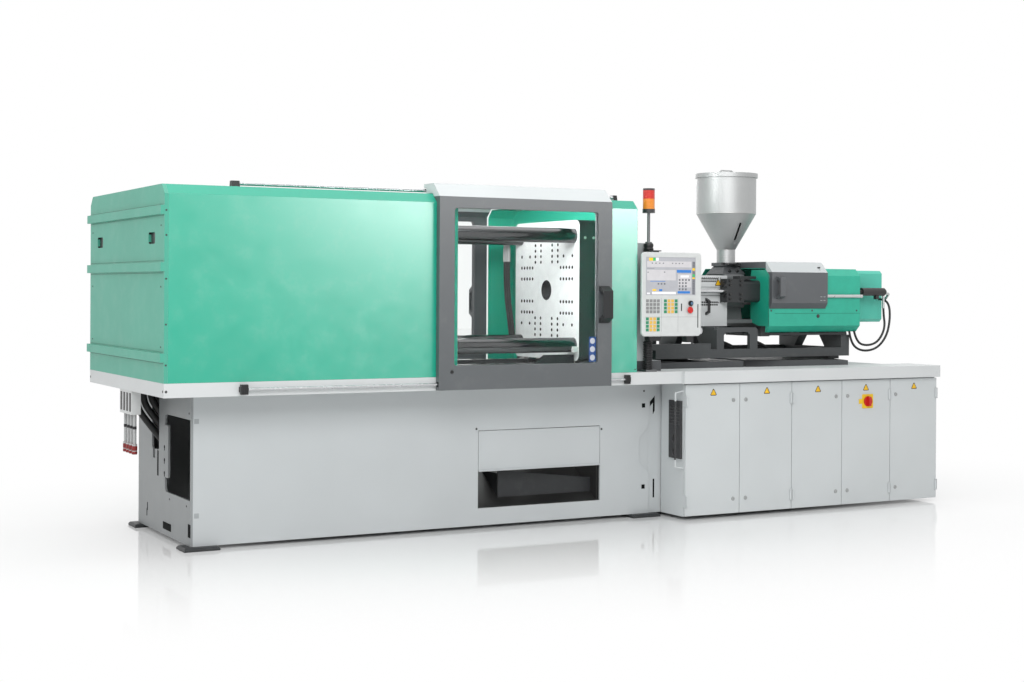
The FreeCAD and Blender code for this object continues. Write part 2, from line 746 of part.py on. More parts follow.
def make_front_guard():
    """Hollow sheet door with a framed window opening, riding on the top and bottom rails."""
    body = outline_x(guard_outline(0), GUARD_LEFT, GUARD_RIGHT)
    hollow = outline_x(guard_outline(SKIN), GUARD_LEFT + SKIN, GUARD_RIGHT - SKIN)
    reach = -GUARD_FRONT + GUARD_REACH
    slot_z = GUARD_TOP - GUARD_LIP
    slot_low = ROOF_LOW + SKIN
    slot = box(GUARD_LEFT - 1, GUARD_RIGHT + 1, reach - GUARD_SLOT_W, reach + 1, slot_low, slot_z)
    notch_y = -BOTTOM_RAIL_Y
    notch_r = BOTTOM_RAIL_R + SLIDE_GAP
    low_slot = box(GUARD_LEFT - 1, GUARD_RIGHT + 1, notch_y - notch_r, notch_y + notch_r,
                   BOTTOM_RAIL_Z - notch_r, BOTTOM_RAIL_Z + notch_r)
    shell = cut(body, [hollow, slot, low_slot])
    edge = SKIN
    frame = box(WINDOW_LEFT - edge, WINDOW_RIGHT + edge, -GUARD_FRONT + 1, -GUARD_BACK - 1,
                WINDOW_LOW - edge, WINDOW_TOP + edge)
    bushes = []
    for x in (GUARD_LEFT + BUSH_INSET, GUARD_RIGHT - BUSH_INSET - BUSH_L):
        hanger = box(x, x + BUSH_L, -TOP_RAIL_Y - 15, -TOP_RAIL_Y + 11, TOP_RAIL_Z - 14, GUARD_TOP - SKIN)
        bushes.append(hanger)
        bushes.append(box(x, x + BUSH_L, -GUARD_FRONT + SKIN, -GUARD_BACK - SKIN,
                          BOTTOM_RAIL_Z - 14, BOTTOM_RAIL_Z + 14))
    solid = join([shell, frame] + bushes)
    window = rounded_y(WINDOW_LEFT, WINDOW_RIGHT, -GUARD_FRONT - 1, -GUARD_BACK + 1,
                       WINDOW_LOW, WINDOW_TOP, WINDOW_R)
    top_bore = bar_x(GUARD_LEFT, GUARD_RIGHT, -TOP_RAIL_Y, TOP_RAIL_Z, TOP_RAIL_R + RUN_FIT)
    low_bore = bar_x(GUARD_LEFT, GUARD_RIGHT, notch_y, BOTTOM_RAIL_Z, BOTTOM_RAIL_R + RUN_FIT)
    return cut(solid, [window, top_bore, low_bore])


def make_guard_window():
    middle = -GUARD_FRONT + GUARD_T / 2
    return rounded_y(WINDOW_LEFT, WINDOW_RIGHT, middle - PANE_T / 2, middle + PANE_T / 2,
                     WINDOW_LOW, WINDOW_TOP, WINDOW_R)


def make_guard_handle():
    """Bracket handle bent from strip, with flanges screwed to the door."""
    face = -GUARD_FRONT
    out = face - GUARD_HANDLE_OUT
    low = GUARD_HANDLE_LOW
    top = GUARD_HANDLE_TOP
    t = 6.0
    flange = 28.0
    points = [
        (face, low), (face, low + flange), (face - t, low + flange), (out + t, low + flange + 24),
        (out + t, top - flange - 24), (face - t, top - flange), (face, top - flange), (face, top),
        (face - t - 3, top), (out, top - flange), (out, low + flange), (face - t - 3, low),
    ]
    half = GUARD_HANDLE_W / 2
    return outline_x(points, GUARD_HANDLE_X - half, GUARD_HANDLE_X + half)


def make_guard_rails():
    """Round rails of both guards, with their end blocks on the covers' roofs and on the tray's edge."""
    y = -TOP_RAIL_Y
    pieces = [bar_x(RAIL_LEFT, RAIL_RIGHT, y, TOP_RAIL_Z, TOP_RAIL_R)]
    block_top = TOP_RAIL_Z + TOP_RAIL_R + 4
    for x0, x1 in ((RAIL_LEFT, RAIL_LEFT + RAIL_BLOCK_L), (RAIL_RIGHT - RAIL_STOP_L, RAIL_RIGHT)):
        points = [(y - 22, COVER_TOP), (y - 15, block_top), (y + 15, block_top), (y + 22, COVER_TOP)]
        pieces.append(outline_x(points, x0, x1))
    top = join(pieces)
    low_y = -BOTTOM_RAIL_Y
    pieces = [bar_x(RAIL_LEFT, RAIL_RIGHT, low_y, BOTTOM_RAIL_Z, BOTTOM_RAIL_R)]
    for x in (RAIL_LEFT, RAIL_RIGHT - RAIL_STOP_L):
        pieces.append(box(x, x + RAIL_STOP_L, low_y - 12, -TRAY_HALF, BOTTOM_RAIL_Z - 14, BOTTOM_RAIL_Z + 14))
    bottom = join(pieces)
    return group(both_sides(top) + both_sides(bottom))


def tap_positions(spans):
    """Rows of tapped holes, the same above and below the axis. A span is a row's first and last column."""
    spots = []
    z = TAP_STEP * TAP_ROWS
    for first, last in spans:
        for k in range(first, last + 1):
            y = TAP_STEP * k
            spots.extend([(y, z), (-y, z), (y, -z), (-y, -z)])
        z -= 2 * TAP_STEP
    return spots


def platen(x0, x1, tie_play):
    """A square platen with rounded corners and bores for the tie bars."""
    low = PLATEN_LOW
    half = PLATEN_W / 2
    plate = rounded_x(x0, x1, -half, half, low, low + PLATEN_H, PLATEN_R)
    bores = []
    for y in (-TIE_SPAN, TIE_SPAN):
        for z in (TIE_LOW, TIE_HIGH):
            bores.append(bar_x(x0 - 1, x1 + 1, y, z, TIE_R + tie_play))
    return cut(plate, bores)


def tapped(face, inward, spans):
    """Tools for the tapped holes in a mould face."""
    tools = []
    for y, z in tap_positions(spans):
        start = V(face - inward, y, AXIS_Z + z)
        tools.append(Part.makeCylinder(TAP_R, TAP_DEPTH + 1, start, V(inward, 0, 0)))
    return tools


def make_fixed_platen():
    plate = platen(0, PLATEN_T, SEAT_FIT)
    centring = bar_x(-1, PLATEN_T + 1, 0, AXIS_Z, CENTRING_R)
    well = bar_x(PLATEN_T - NOZZLE_WELL, PLATEN_T + 1, 0, AXIS_Z, NOZZLE_WELL_R)
    return cut(plate, [centring, well] + tapped(0, 1, [(2, 2), (3, 4)]))


def make_moving_platen():
    """Moving platen, pillars and yoke plate in one casting, with slide shoes under it."""
    front = platen(MOULD_FACE - MOVING_T, MOULD_FACE, 2 * RUN_FIT)
    yoke = platen(YOKE_BACK, YOKE_FACE, 2 * RUN_FIT)
    pieces = [front, yoke]
    for y in (-PILLAR_SPAN, PILLAR_SPAN):
        for z in (AXIS_Z - PILLAR_SPAN, AXIS_Z + PILLAR_SPAN):
            pieces.append(box(YOKE_FACE, MOULD_FACE - MOVING_T, y - PILLAR_HALF, y + PILLAR_HALF,
                              z - PILLAR_HALF, z + PILLAR_HALF))
    for y in (-RAIL_Y, RAIL_Y):
        pieces.append(box(YOKE_BACK, MOULD_FACE, y - RAIL_W / 2, y + RAIL_W / 2,
                          RAIL_TOP + RUN_FIT, PLATEN_LOW))
    block = join(pieces)
    x0 = MOULD_FACE - MOVING_T - 1
    x1 = MOULD_FACE + 1
    tools = [bar_x(MOULD_FACE - 30, x1, 0, AXIS_Z, CENTRING_R),
             bar_x(x0, x1, 0, AXIS_Z, EJECTOR_ROD_R + RUN_FIT)]
    for y in (-EJECTOR_PIN_SPAN, EJECTOR_PIN_SPAN):
        tools.append(bar_x(x0, x1, y, AXIS_Z, EJECTOR_PIN_R + RUN_FIT))
    return cut(block, tools + tapped(MOULD_FACE, -1, [(2, 2), (3, 3)]))


def make_cylinder_platen():
    """Rear platen with the clamp cylinder on it."""
    plate = platen(CYLINDER_BACK, CYLINDER_FACE, SEAT_FIT)
    tube = bar_x(CYLINDER_LEFT, CYLINDER_BACK, 0, AXIS_Z, CYLINDER_R)
    flange = bar_x(CYLINDER_BACK - 45, CYLINDER_BACK, 0, AXIS_Z, CYLINDER_R + 35)
    chamber = bar_x(CYLINDER_LEFT + CYLINDER_CAP, CYLINDER_FACE - GLAND_T, 0, AXIS_Z, CYLINDER_BORE)
    gland = bar_x(CYLINDER_FACE - GLAND_T - 1, CYLINDER_FACE + 1, 0, AXIS_Z, PISTON_ROD_R + RUN_FIT)
    return cut(join([plate, flange, tube]), [chamber, gland])


def make_clamp_piston():
    x0 = CYLINDER_LEFT + CYLINDER_CAP + PISTON_END
    rod = bar_x(x0, YOKE_BACK, 0, AXIS_Z, PISTON_ROD_R)
    piston = bar_x(x0, x0 + PISTON_T, 0, AXIS_Z, CYLINDER_BORE - RUN_FIT)
    return join([rod, piston])


def eight_sided(x0, x1, y, z, r):
    """An eight-sided nut, measured across its corners."""
    points = []
    for k in range(8):
        angle = math.radians(22.5 + 45 * k)
        points.append((y + r * math.cos(angle), z + r * math.sin(angle)))
    return outline_x(points, x0, x1)


def make_tie_bars():
    """Four tie bars, each with a nut behind the cylinder platen and behind the fixed platen."""
    bars = []
    for y in (-TIE_SPAN, TIE_SPAN):
        for z in (TIE_LOW, TIE_HIGH):
            rod = bar_x(CYLINDER_BACK - TIE_NUT_T, PLATEN_T + TIE_NUT_T, y, z, TIE_R)
            left = eight_sided(CYLINDER_BACK - TIE_NUT_T, CYLINDER_BACK, y, z, TIE_NUT_R)
            right = eight_sided(PLATEN_T, PLATEN_T + TIE_NUT_T, y, z, TIE_NUT_R)
            bars.append(join([rod, left, right]))
    return group(bars)


def make_platen_slideways():
    """Slide rails of the moving platen, and the blocks that the two fixed platens stand on."""
    pieces = []
    clear = SLIDE_GAP
    for y in (-RAIL_Y, RAIL_Y):
        pieces.append(box(CYLINDER_FACE + clear, -clear, y - RAIL_W / 2, y + RAIL_W / 2, TRAY_TOP, RAIL_TOP))
        for x0, x1 in ((0, PLATEN_T), (CYLINDER_BACK, CYLINDER_FACE)):
            foot = box(x0, x1, y - FOOT_W / 2, y + FOOT_W / 2, TRAY_TOP, PLATEN_LOW)
            pieces.append(foot)
    return group(pieces)


def make_ejector():
    x0 = YOKE_FACE + EJECTOR_BACK
    plate = rounded_x(x0, x0 + EJECTOR_T, -EJECTOR_HALF, EJECTOR_HALF,
                      AXIS_Z - EJECTOR_HALF, AXIS_Z + EJECTOR_HALF, 30)
    tip = MOULD_FACE - 32
    pieces = [plate, bar_x(x0, tip, 0, AXIS_Z, EJECTOR_ROD_R)]
    for y in (-EJECTOR_PIN_SPAN, EJECTOR_PIN_SPAN):
        pieces.append(bar_x(x0, MOULD_FACE - 2, y, AXIS_Z, EJECTOR_PIN_R))
    return join(pieces)


def make_flow_meters():
    """Flow control unit under the tray: a block with clear tubes that end in knobs."""
    half = METER_W / 2
    neck = METER_LOW + METER_KNOB_H
    block_low = BASE_TOP - METER_BLOCK_H
    pieces = [box(METER_X - METER_T / 2, METER_X + METER_T / 2, METER_Y - half, METER_Y + half,
                  block_low, BASE_TOP)]
    step = METER_W / METER_COUNT
    for i in range(METER_COUNT):
        y = METER_Y - half + step * (i + 0.5)
        pieces.append(bar_z(neck - 1, block_low + 1, METER_X, y, METER_TUBE_R))
        pieces.append(bar_z(METER_LOW, neck, METER_X, y, METER_KNOB_R))
    return join(pieces)


def make_clamp_hoses():
    """Thick hoses that come down from the tray's underside and sweep in through the end plate."""
    tubes = []
    middle = (HOSE_GATE_FRONT + HOSE_GATE_REAR) / 2
    end = BASE_LEFT + 40
    for i in range(3):
        x = TRAY_LEFT + HOSE_DROP_IN + i * HOSE_DROP_STEP
        z = HOSE_GATE_LOW + 46 + i * 70
        y = middle + 33
        drop = (BASE_TOP - z) / 3
        points = [(x, y, BASE_TOP), (x, y, BASE_TOP - drop), ((x + end) / 2 - 8, middle + 15, z + drop),
                  (end, middle, z)]
        tubes.append(hose(points, THICK_HOSE_R))
    return group(tubes)


# Injection side --------------------------------------------------------------------------------------------

def make_injection_base():
    """Welded base, stepped under the tray, hollow inside."""
    outline = [(BASE_RIGHT, PAD_H), (INJ_RIGHT, PAD_H), (INJ_RIGHT, INJ_TOP), (TRAY_RIGHT, INJ_TOP),
               (TRAY_RIGHT, BASE_TOP), (BASE_RIGHT, BASE_TOP)]
    body = outline_y(outline, -INJ_FRONT, BASE_HALF)
    inside = box(BASE_RIGHT + BASE_WALL, INJ_RIGHT - BASE_WALL, -INJ_FRONT + BASE_WALL,
                 BASE_HALF - BASE_WALL, PAD_H + BASE_WALL, BASE_TOP - BASE_WALL)
    vents = []
    for i in range(8):
        z = 560.0 + i * 22
        vents.append(box(INJ_RIGHT - BASE_WALL - 1, INJ_RIGHT + 1, -180, 180, z, z + 9))
    return cut(body, [inside] + vents)


def make_swivel_base():
    """Plate with the swivel disc, and the curved track that carries the far end of the bed."""
    plate = rounded_z(BED_PLATE_LEFT, BED_PLATE_RIGHT, -BEAM_HALF, BEAM_HALF, INJ_TOP, BED_TOP, 30)
    ring = bar_z(INJ_TOP, INJ_TOP + TRACK_T, SWIVEL_X, 0, TRACK_OUT)
    hole = bar_z(INJ_TOP - 1, INJ_TOP + TRACK_T + 1, SWIVEL_X, 0, TRACK_IN)
    reach = TRACK_OUT + 10
    side = reach * math.tan(math.radians(TRACK_HALF))
    points = [V(SWIVEL_X, 0, INJ_TOP - 1), V(SWIVEL_X + reach, -side, INJ_TOP - 1),
              V(SWIVEL_X + reach, side, INJ_TOP - 1)]
    wedge = Part.Face(Part.makePolygon(points + points[:1])).extrude(V(0, 0, TRACK_T + 2))
    track = ring.cut(hole).common(wedge)
    return group([plate, track])


def make_injection_bed():
    """Frame of two beams on the swivel disc, with the arched side plates, the rear posts and the rod yoke."""
    low = BEAM_LOW
    top = BEAM_TOP_Z
    pieces = [bar_z(BED_TOP + BODY_GAP, low, SWIVEL_X, 0, SWIVEL_R)]
    side = -BEAM_HALF
    for x0, x1 in ((YOKE_LEFT + YOKE_W, BED_PLATE_LEFT + 90), (SWIVEL_X - 130, SWIVEL_X + 130),
                   (BEAM_RIGHT - 70, BEAM_RIGHT)):
        pieces.append(box(x0, x1, side + BEAM_W - 1, -side - BEAM_W + 1, low, top))
    plate = box(YOKE_LEFT + YOKE_W, ARM_RIGHT, -200, 200, top, top + 12)
    pieces.append(plate)
    pieces.append(box(BEAM_RIGHT - 110, BEAM_RIGHT - 20, -250, 250, INJ_TOP + TRACK_T + BODY_GAP, low))
    half = []
    half.append(box(YOKE_LEFT + YOKE_W - 1, BEAM_RIGHT, side, side + BEAM_W, low, top))
    half.append(box(YOKE_LEFT, ARM_RIGHT, side, side + BEAM_W - 20, top, top + ARM_H))
    arch = [(PORTAL_LEFT, top - 1), (PORTAL_LEFT + PORTAL_LEG, top - 1),
            (PORTAL_LEFT + PORTAL_LEG, PORTAL_ARCH - 20), (PORTAL_LEFT + PORTAL_LEG + 20, PORTAL_ARCH),
            (PORTAL_RIGHT - PORTAL_LEG - 26, PORTAL_ARCH), (PORTAL_RIGHT - PORTAL_LEG - 6, PORTAL_ARCH - 20),
            (PORTAL_RIGHT - PORTAL_LEG - 6, top - 1), (PORTAL_RIGHT, top - 1),
            (PORTAL_RIGHT, PORTAL_TOP - 14), (PORTAL_RIGHT - 14, PORTAL_TOP),
            (PORTAL_LEFT + 14, PORTAL_TOP), (PORTAL_LEFT, PORTAL_TOP - 14)]
    half.append(outline_y(arch, side, side + PORTAL_T))
    wall = [(side + PORTAL_T - 1, top - 1), (side + PORTAL_T - 1, PORTAL_TOP), (-COLUMN_Y - 40, PORTAL_TOP),
            (-COLUMN_Y + 45, PORTAL_TOP), (-COLUMN_Y + 45, COLUMN_Z - 40), (-COLUMN_Y - 10, top - 1)]
    half.append(outline_x(wall, PORTAL_LEFT, PORTAL_LEFT + PORTAL_LEG))
    half.append(outline_x(wall, POST_LEFT, BEAM_RIGHT))
    half.append(box(POST_LEFT, BEAM_RIGHT, side, side + PORTAL_T, top - 1, UNIT_LOW - 16))
    yoke = [(-ROD_Y - 38, low), (-ROD_Y - 38, AXIS_Z + 25), (-ROD_Y - 20, AXIS_Z + 40),
            (-ROD_Y + 20, AXIS_Z + 40), (-ROD_Y + 38, AXIS_Z + 25), (-ROD_Y + 38, top + 120),
            (-ROD_Y + 120, top + 20), (-ROD_Y + 120, low)]
    half.append(outline_x(yoke, YOKE_LEFT, YOKE_LEFT + YOKE_W))
    for piece in half:
        pieces.extend(both_sides(piece))
    pieces.append(box(YOKE_LEFT, YOKE_LEFT + YOKE_W, -ROD_Y + 119, ROD_Y - 119, low, top + 20))
    tools = []
    for y in (-COLUMN_Y, COLUMN_Y):
        tools.append(bar_x(PORTAL_LEFT - 1, BEAM_RIGHT + 1, y, COLUMN_Z, COLUMN_R + SEAT_FIT))
    for y in (-ROD_Y, ROD_Y):
        tools.append(bar_x(YOKE_LEFT - 1, YOKE_LEFT + YOKE_W + 1, y, AXIS_Z, ROD_R + SEAT_FIT))
    return cut(join(pieces), tools)


def make_guide_columns():
    """Two columns that the carriage slides on, and the two approach rods with their pistons."""
    bars = []
    for y in (-COLUMN_Y, COLUMN_Y):
        bars.append(bar_x(PORTAL_LEFT, BEAM_RIGHT, y, COLUMN_Z, COLUMN_R))
    for y in (-ROD_Y, ROD_Y):
        rod = bar_x(YOKE_LEFT, ROD_END, y, AXIS_Z, ROD_R)
        nut = eight_sided(YOKE_LEFT - 22, YOKE_LEFT, y, AXIS_Z, ROD_NUT_R)
        piston = bar_x(ROD_END - 30, ROD_END, y, AXIS_Z, TUBE_BORE - RUN_FIT)
        bars.append(join([nut, rod, piston]))
    return group(bars)


def make_injection_carriage():
    """Slide block on the columns, the housing at the feed end of the barrel, and the plate between them."""
    low = COLUMN_Z - 40
    high = COLUMN_Z + 48
    pieces = []
    for x0, x1 in ((CARRIAGE_LEFT, CARRIAGE_LEFT + 70), (CARRIAGE_RIGHT - 70, CARRIAGE_RIGHT)):
        pieces.append(box(x0, x1, -COLUMN_Y - 45, COLUMN_Y + 45, low, high))
    plate_left = HEAD_LEFT + 20
    deck = box(plate_left, CARRIAGE_RIGHT, -COLUMN_Y - 45, COLUMN_Y + 45, high, high + 24)
    pieces.append(deck)
    seat = rounded_x(SEAT_LEFT, SEAT_RIGHT, -SEAT_HALF, SEAT_HALF, SEAT_LOW, SEAT_TOP, 24)
    pieces.append(seat)
    leg = [(-SEAT_HALF, high + 23), (-SEAT_HALF + 20, SEAT_LOW + 30), (SEAT_HALF - 20, SEAT_LOW + 30),
           (SEAT_HALF, high + 23)]
    pieces.append(outline_x(leg, SEAT_LEFT - 60, SEAT_RIGHT - 20))
    arms = box(SHIELD_RIGHT + SLIDE_GAP, SEAT_RIGHT - 30, -HEAD_OUT + HEAD_W + 14, -SEAT_HALF + 20,
               AXIS_Z - 60, AXIS_Z - 10)
    pieces.extend(both_sides(arms))
    tools = []
    for y in (-COLUMN_Y, COLUMN_Y):
        tools.append(bar_x(CARRIAGE_LEFT - 1, CARRIAGE_RIGHT + 1, y, COLUMN_Z, COLUMN_R + RUN_FIT))
    tools.append(bar_x(SEAT_LEFT - 61, SEAT_RIGHT + 1, 0, AXIS_Z, BARREL_R + SEAT_FIT))
    tools.append(bar_z(AXIS_Z, SEAT_TOP + 1, FEED_X, 0, FEED_R))
    return cut(join(pieces), tools)


def make_approach_cylinders():
    """Heads, blocks and tubes of the two cylinders that move the injection unit."""
    front = -HEAD_OUT
    inner = front + HEAD_W + 14
    head = box(HEAD_LEFT, HEAD_RIGHT, front, inner, HEAD_LOW, HEAD_TOP)
    block_low = AXIS_Z - BLOCK_H / 2
    block = rounded_x(HEAD_RIGHT, BLOCK_RIGHT, front, inner - 14, block_low, block_low + BLOCK_H, 26)
    tube = bar_x(BLOCK_RIGHT, TUBE_RIGHT, -ROD_Y, AXIS_Z, TUBE_R)
    top_plate = box(HEAD_RIGHT - 32, BLOCK_RIGHT - 62, front, inner, HEAD_TOP, HEAD_TOP + 18)
    solid = join([head, block, tube, top_plate])
    bore = bar_x(HEAD_LEFT + 40, TUBE_RIGHT - 24, -ROD_Y, AXIS_Z, TUBE_BORE)
    gland = bar_x(HEAD_LEFT - 1, HEAD_LEFT + 41, -ROD_Y, AXIS_Z, ROD_R + RUN_FIT)
    return group(both_sides(cut(solid, [bore, gland])))


def make_barrel():
    """Barrel with its tapered head."""
    tube = bar_x(BARREL_LEFT, SEAT_RIGHT, 0, AXIS_Z, BARREL_R)
    head = Part.makeCone(NOZZLE_R + 18, BARREL_R, 70, V(BARREL_LEFT - 70, 0, AXIS_Z), V(1, 0, 0))
    bore = bar_x(BARREL_LEFT - 10, SEAT_RIGHT + 1, 0, AXIS_Z, BARREL_BORE)
    throat = bar_z(AXIS_Z, AXIS_Z + BARREL_R + 1, FEED_X, 0, BARREL_BORE - 2)
    channel = bar_x(BARREL_LEFT - 71, BARREL_LEFT - 9, 0, AXIS_Z, 2 * NOZZLE_BORE)
    return join([cut(join([head, tube]), [bore, throat, channel]), make_nozzle()])


def make_nozzle():
    start = NOZZLE_TIP
    end = BARREL_LEFT - 70
    radius = NOZZLE_R
    points = [V(start, 0, AXIS_Z + NOZZLE_BORE), V(start, 0, AXIS_Z + 8), V(start + 10, 0, AXIS_Z + radius),
              V(end, 0, AXIS_Z + radius), V(end, 0, AXIS_Z + NOZZLE_BORE)]
    face = Part.Face(Part.makePolygon(points + points[:1]))
    return face.revolve(V(0, 0, AXIS_Z), V(1, 0, 0), 360)


def make_heater_bands():
    bands = []
    for i in range(BAND_COUNT):
        x = BARREL_LEFT + 12 + i * BAND_STEP
        ring = bar_x(x, x + BAND_L, 0, AXIS_Z, BAND_R)
        clamp = box(x + 8, x + BAND_L - 8, -9, 9, AXIS_Z + BAND_R - 6, AXIS_Z + BAND_R + 16)
        hole = bar_x(x - 1, x + BAND_L + 1, 0, AXIS_Z, BARREL_R + SEAT_FIT)
        bands.append(join([ring, clamp]).cut(hole))
    return group(bands)


def make_screw():
    """Screw core with a pointed tip and a check ring, coupled to the drive."""
    core = bar_x(SCREW_TIP, CROSS_LEFT, 0, AXIS_Z, SCREW_R)
    tip = Part.makeCone(4, SCREW_R, 40, V(SCREW_TIP - 40, 0, AXIS_Z), V(1, 0, 0))
    ring = bar_x(SCREW_TIP + 6, SCREW_TIP + 40, 0, AXIS_Z, SCREW_FLIGHT_R)
    hub = bar_x(CROSS_LEFT - 30, CROSS_LEFT, 0, AXIS_Z, SCREW_R + 20)
    return join([tip, core, ring, hub])


def make_screw_drive():
    """Cross head that slides on the cylinder tubes, with the screw motor behind it."""
    x0 = CROSS_LEFT + BODY_GAP
    half = ROD_Y + TUBE_R + 14
    points = [(-half, AXIS_Z - 60), (-half, AXIS_Z + 60), (-90, AXIS_Z + 90), (90, AXIS_Z + 90),
              (half, AXIS_Z + 60), (half, AXIS_Z - 60), (90, AXIS_Z - 90), (-90, AXIS_Z - 90)]
    plate = outline_x(points, x0, x0 + CROSS_T)
    motor = bar_x(x0 + CROSS_T - 1, MOTOR_RIGHT, 0, AXIS_Z, MOTOR_R)
    tools = [bar_x(x0 - 1, x0 + CROSS_T + 1, y, AXIS_Z, TUBE_R + RUN_FIT) for y in (-ROD_Y, ROD_Y)]
    return cut(join([plate, motor]), tools)


def make_barrel_guard():
    """Open-ended sheet hood over the barrel, with rows of square vents and a bar handle on each side."""
    half = SHIELD_HALF
    low = SHIELD_LOW
    top = SHIELD_TOP
    outer = outline_x([(-half, low), (-half, top), (half, top), (half, low)], SHIELD_LEFT, SHIELD_RIGHT)
    inner = outline_x([(-half + SKIN, low - 1), (-half + SKIN, top - SKIN), (half - SKIN, top - SKIN),
                       (half - SKIN, low - 1)], SHIELD_LEFT - 1, SHIELD_RIGHT + 1)
    vents = []
    for i in range(VENT_COUNT):
        x = VENT_LEFT + i * VENT_STEP
        for z in (top - 21, AXIS_Z - 78):
            vents.append(box(x, x + VENT, -half - 1, half + 1, z, z + VENT))
    shell = cut(outer, [inner] + vents)
    out = half + 40
    points = [(-half, SHIELD_BAR_LOW), (-half, SHIELD_BAR_LOW + 16), (-out + 12, SHIELD_BAR_LOW + 28),
              (-out + 12, SHIELD_BAR_TOP - 28), (-half, SHIELD_BAR_TOP - 16), (-half, SHIELD_BAR_TOP),
              (-out, SHIELD_BAR_TOP - 16), (-out, SHIELD_BAR_LOW + 16)]
    bar = outline_x(points, SHIELD_BAR_X - 7, SHIELD_BAR_X + 7)
    return join([shell, bar])


def make_feed_throat():
    """Tapered casting between the barrel housing and the shut-off slide."""
    wide = THROAT_LOW_HALF
    top = THROAT_TOP_HALF
    along = [(FEED_X - wide, SEAT_TOP), (FEED_X - top, THROAT_TOP), (FEED_X + top, THROAT_TOP),
             (FEED_X + wide, SEAT_TOP)]
    across = [(-wide, SEAT_TOP), (-top, THROAT_TOP), (top, THROAT_TOP), (wide, SEAT_TOP)]
    slopes_x = outline_x(across, FEED_X - wide, FEED_X + wide)
    body = outline_y(along, -wide, wide).common(slopes_x)
    plate_low = THROAT_TOP
    plate = box(FEED_X - GATE_HALF, FEED_X + GATE_HALF, -GATE_HALF, GATE_HALF, plate_low, plate_low + GATE_H)
    slot_z = plate_low + (GATE_H - GATE_SLIDE_T) / 2
    slot = box(FEED_X - 48 - BODY_GAP, FEED_X + 48 + BODY_GAP, -GATE_HALF - 1, 58 + BODY_GAP,
               slot_z - BODY_GAP, slot_z + GATE_SLIDE_T + BODY_GAP)
    bore = bar_z(SEAT_TOP - 1, plate_low + GATE_H + 1, FEED_X, 0, FEED_R)
    return cut(join([body, plate]), [slot, bore])


def make_hopper_gate():
    """Shut-off slide with a hole that lines up with the bore, and a knob at the front."""
    z = THROAT_TOP + (GATE_H - GATE_SLIDE_T) / 2
    sheet = box(FEED_X - 48, FEED_X + 48, -GATE_HALF - 30, 58, z, z + GATE_SLIDE_T)
    knob = bar_y(-GATE_HALF - 62, -GATE_HALF - 29, FEED_X, z + GATE_SLIDE_T / 2, 11)
    hole = bar_z(z - 1, z + GATE_SLIDE_T + 1, FEED_X, 0, FEED_R)
    return cut(join([sheet, knob]), [hole])


def rolled_sheet(profile):
    """Ring of sheet about the hopper's axis, from its cut edge as pairs of radius and height."""
    ring = [V(FEED_X + r, 0, z) for r, z in profile]
    return Part.Face(Part.makePolygon(ring + ring[:1])).revolve(V(FEED_X, 0, 0), V(0, 0, 1), 360)


def make_hopper():
    """Hopper of three rolled sheets welded edge to edge: neck, cone with its sight slot, and cylinder."""
    low = THROAT_TOP + GATE_H
    neck_in = HOPPER_NECK_R - SKIN
    wide_in = HOPPER_R - SKIN
    neck = rolled_sheet([(neck_in, low), (HOPPER_NECK_R, low), (HOPPER_NECK_R, HOPPER_CONE_LOW),
                         (neck_in, HOPPER_CONE_LOW)])
    cone = rolled_sheet([(neck_in, HOPPER_CONE_LOW), (HOPPER_NECK_R, HOPPER_CONE_LOW),
                         (HOPPER_R, HOPPER_CONE_TOP), (wide_in, HOPPER_CONE_TOP)])
    cylinder = rolled_sheet([(wide_in, HOPPER_CONE_TOP), (HOPPER_R, HOPPER_CONE_TOP),
                             (HOPPER_R, HOPPER_RIM), (wide_in, HOPPER_RIM)])
    slot = box(FEED_X - SIGHT_HALF, FEED_X + SIGHT_HALF, -HOPPER_R, -HOPPER_NECK_R,
               HOPPER_CONE_LOW + SIGHT_IN, HOPPER_CONE_TOP - SIGHT_IN)
    sight = round_along(slot, V(0, 1, 0), SIGHT_HALF - 1)
    return group([neck, cut(cone, [sight]), cylinder])


def make_hopper_lid():
    """Lid with a rim that laps over the hopper, and a bail handle."""
    low = HOPPER_RIM - LID_H
    gap = 1.0
    points = [(0, HOPPER_RIM), (HOPPER_R + gap, HOPPER_RIM), (HOPPER_R + gap, low), (LID_R, low),
              (LID_R, HOPPER_RIM + LID_T), (0, HOPPER_RIM + LID_T)]
    ring = [V(FEED_X + r, 0, z) for r, z in points]
    dome = Part.Face(Part.makePolygon(ring + ring[:1])).revolve(V(FEED_X, 0, 0), V(0, 0, 1), 360)
    top = HOPPER_RIM + LID_T
    half = LID_HANDLE_W / 2
    peak = top + LID_HANDLE_H
    k = LID_HANDLE_H / 2
    bail = [(-half, top - 1), (-half, peak - k), (-half + k, peak), (half - k, peak), (half, peak - k),
            (half, top - 1), (half - 8, top - 1), (half - 8, peak - k - 3), (half - k - 3, peak - 8),
            (-half + k + 3, peak - 8), (-half + 8, peak - k - 3), (-half + 8, top - 1)]
    handle = outline_y([(FEED_X + a, b) for a, b in bail], -6, 6)
    return join([dome, handle])


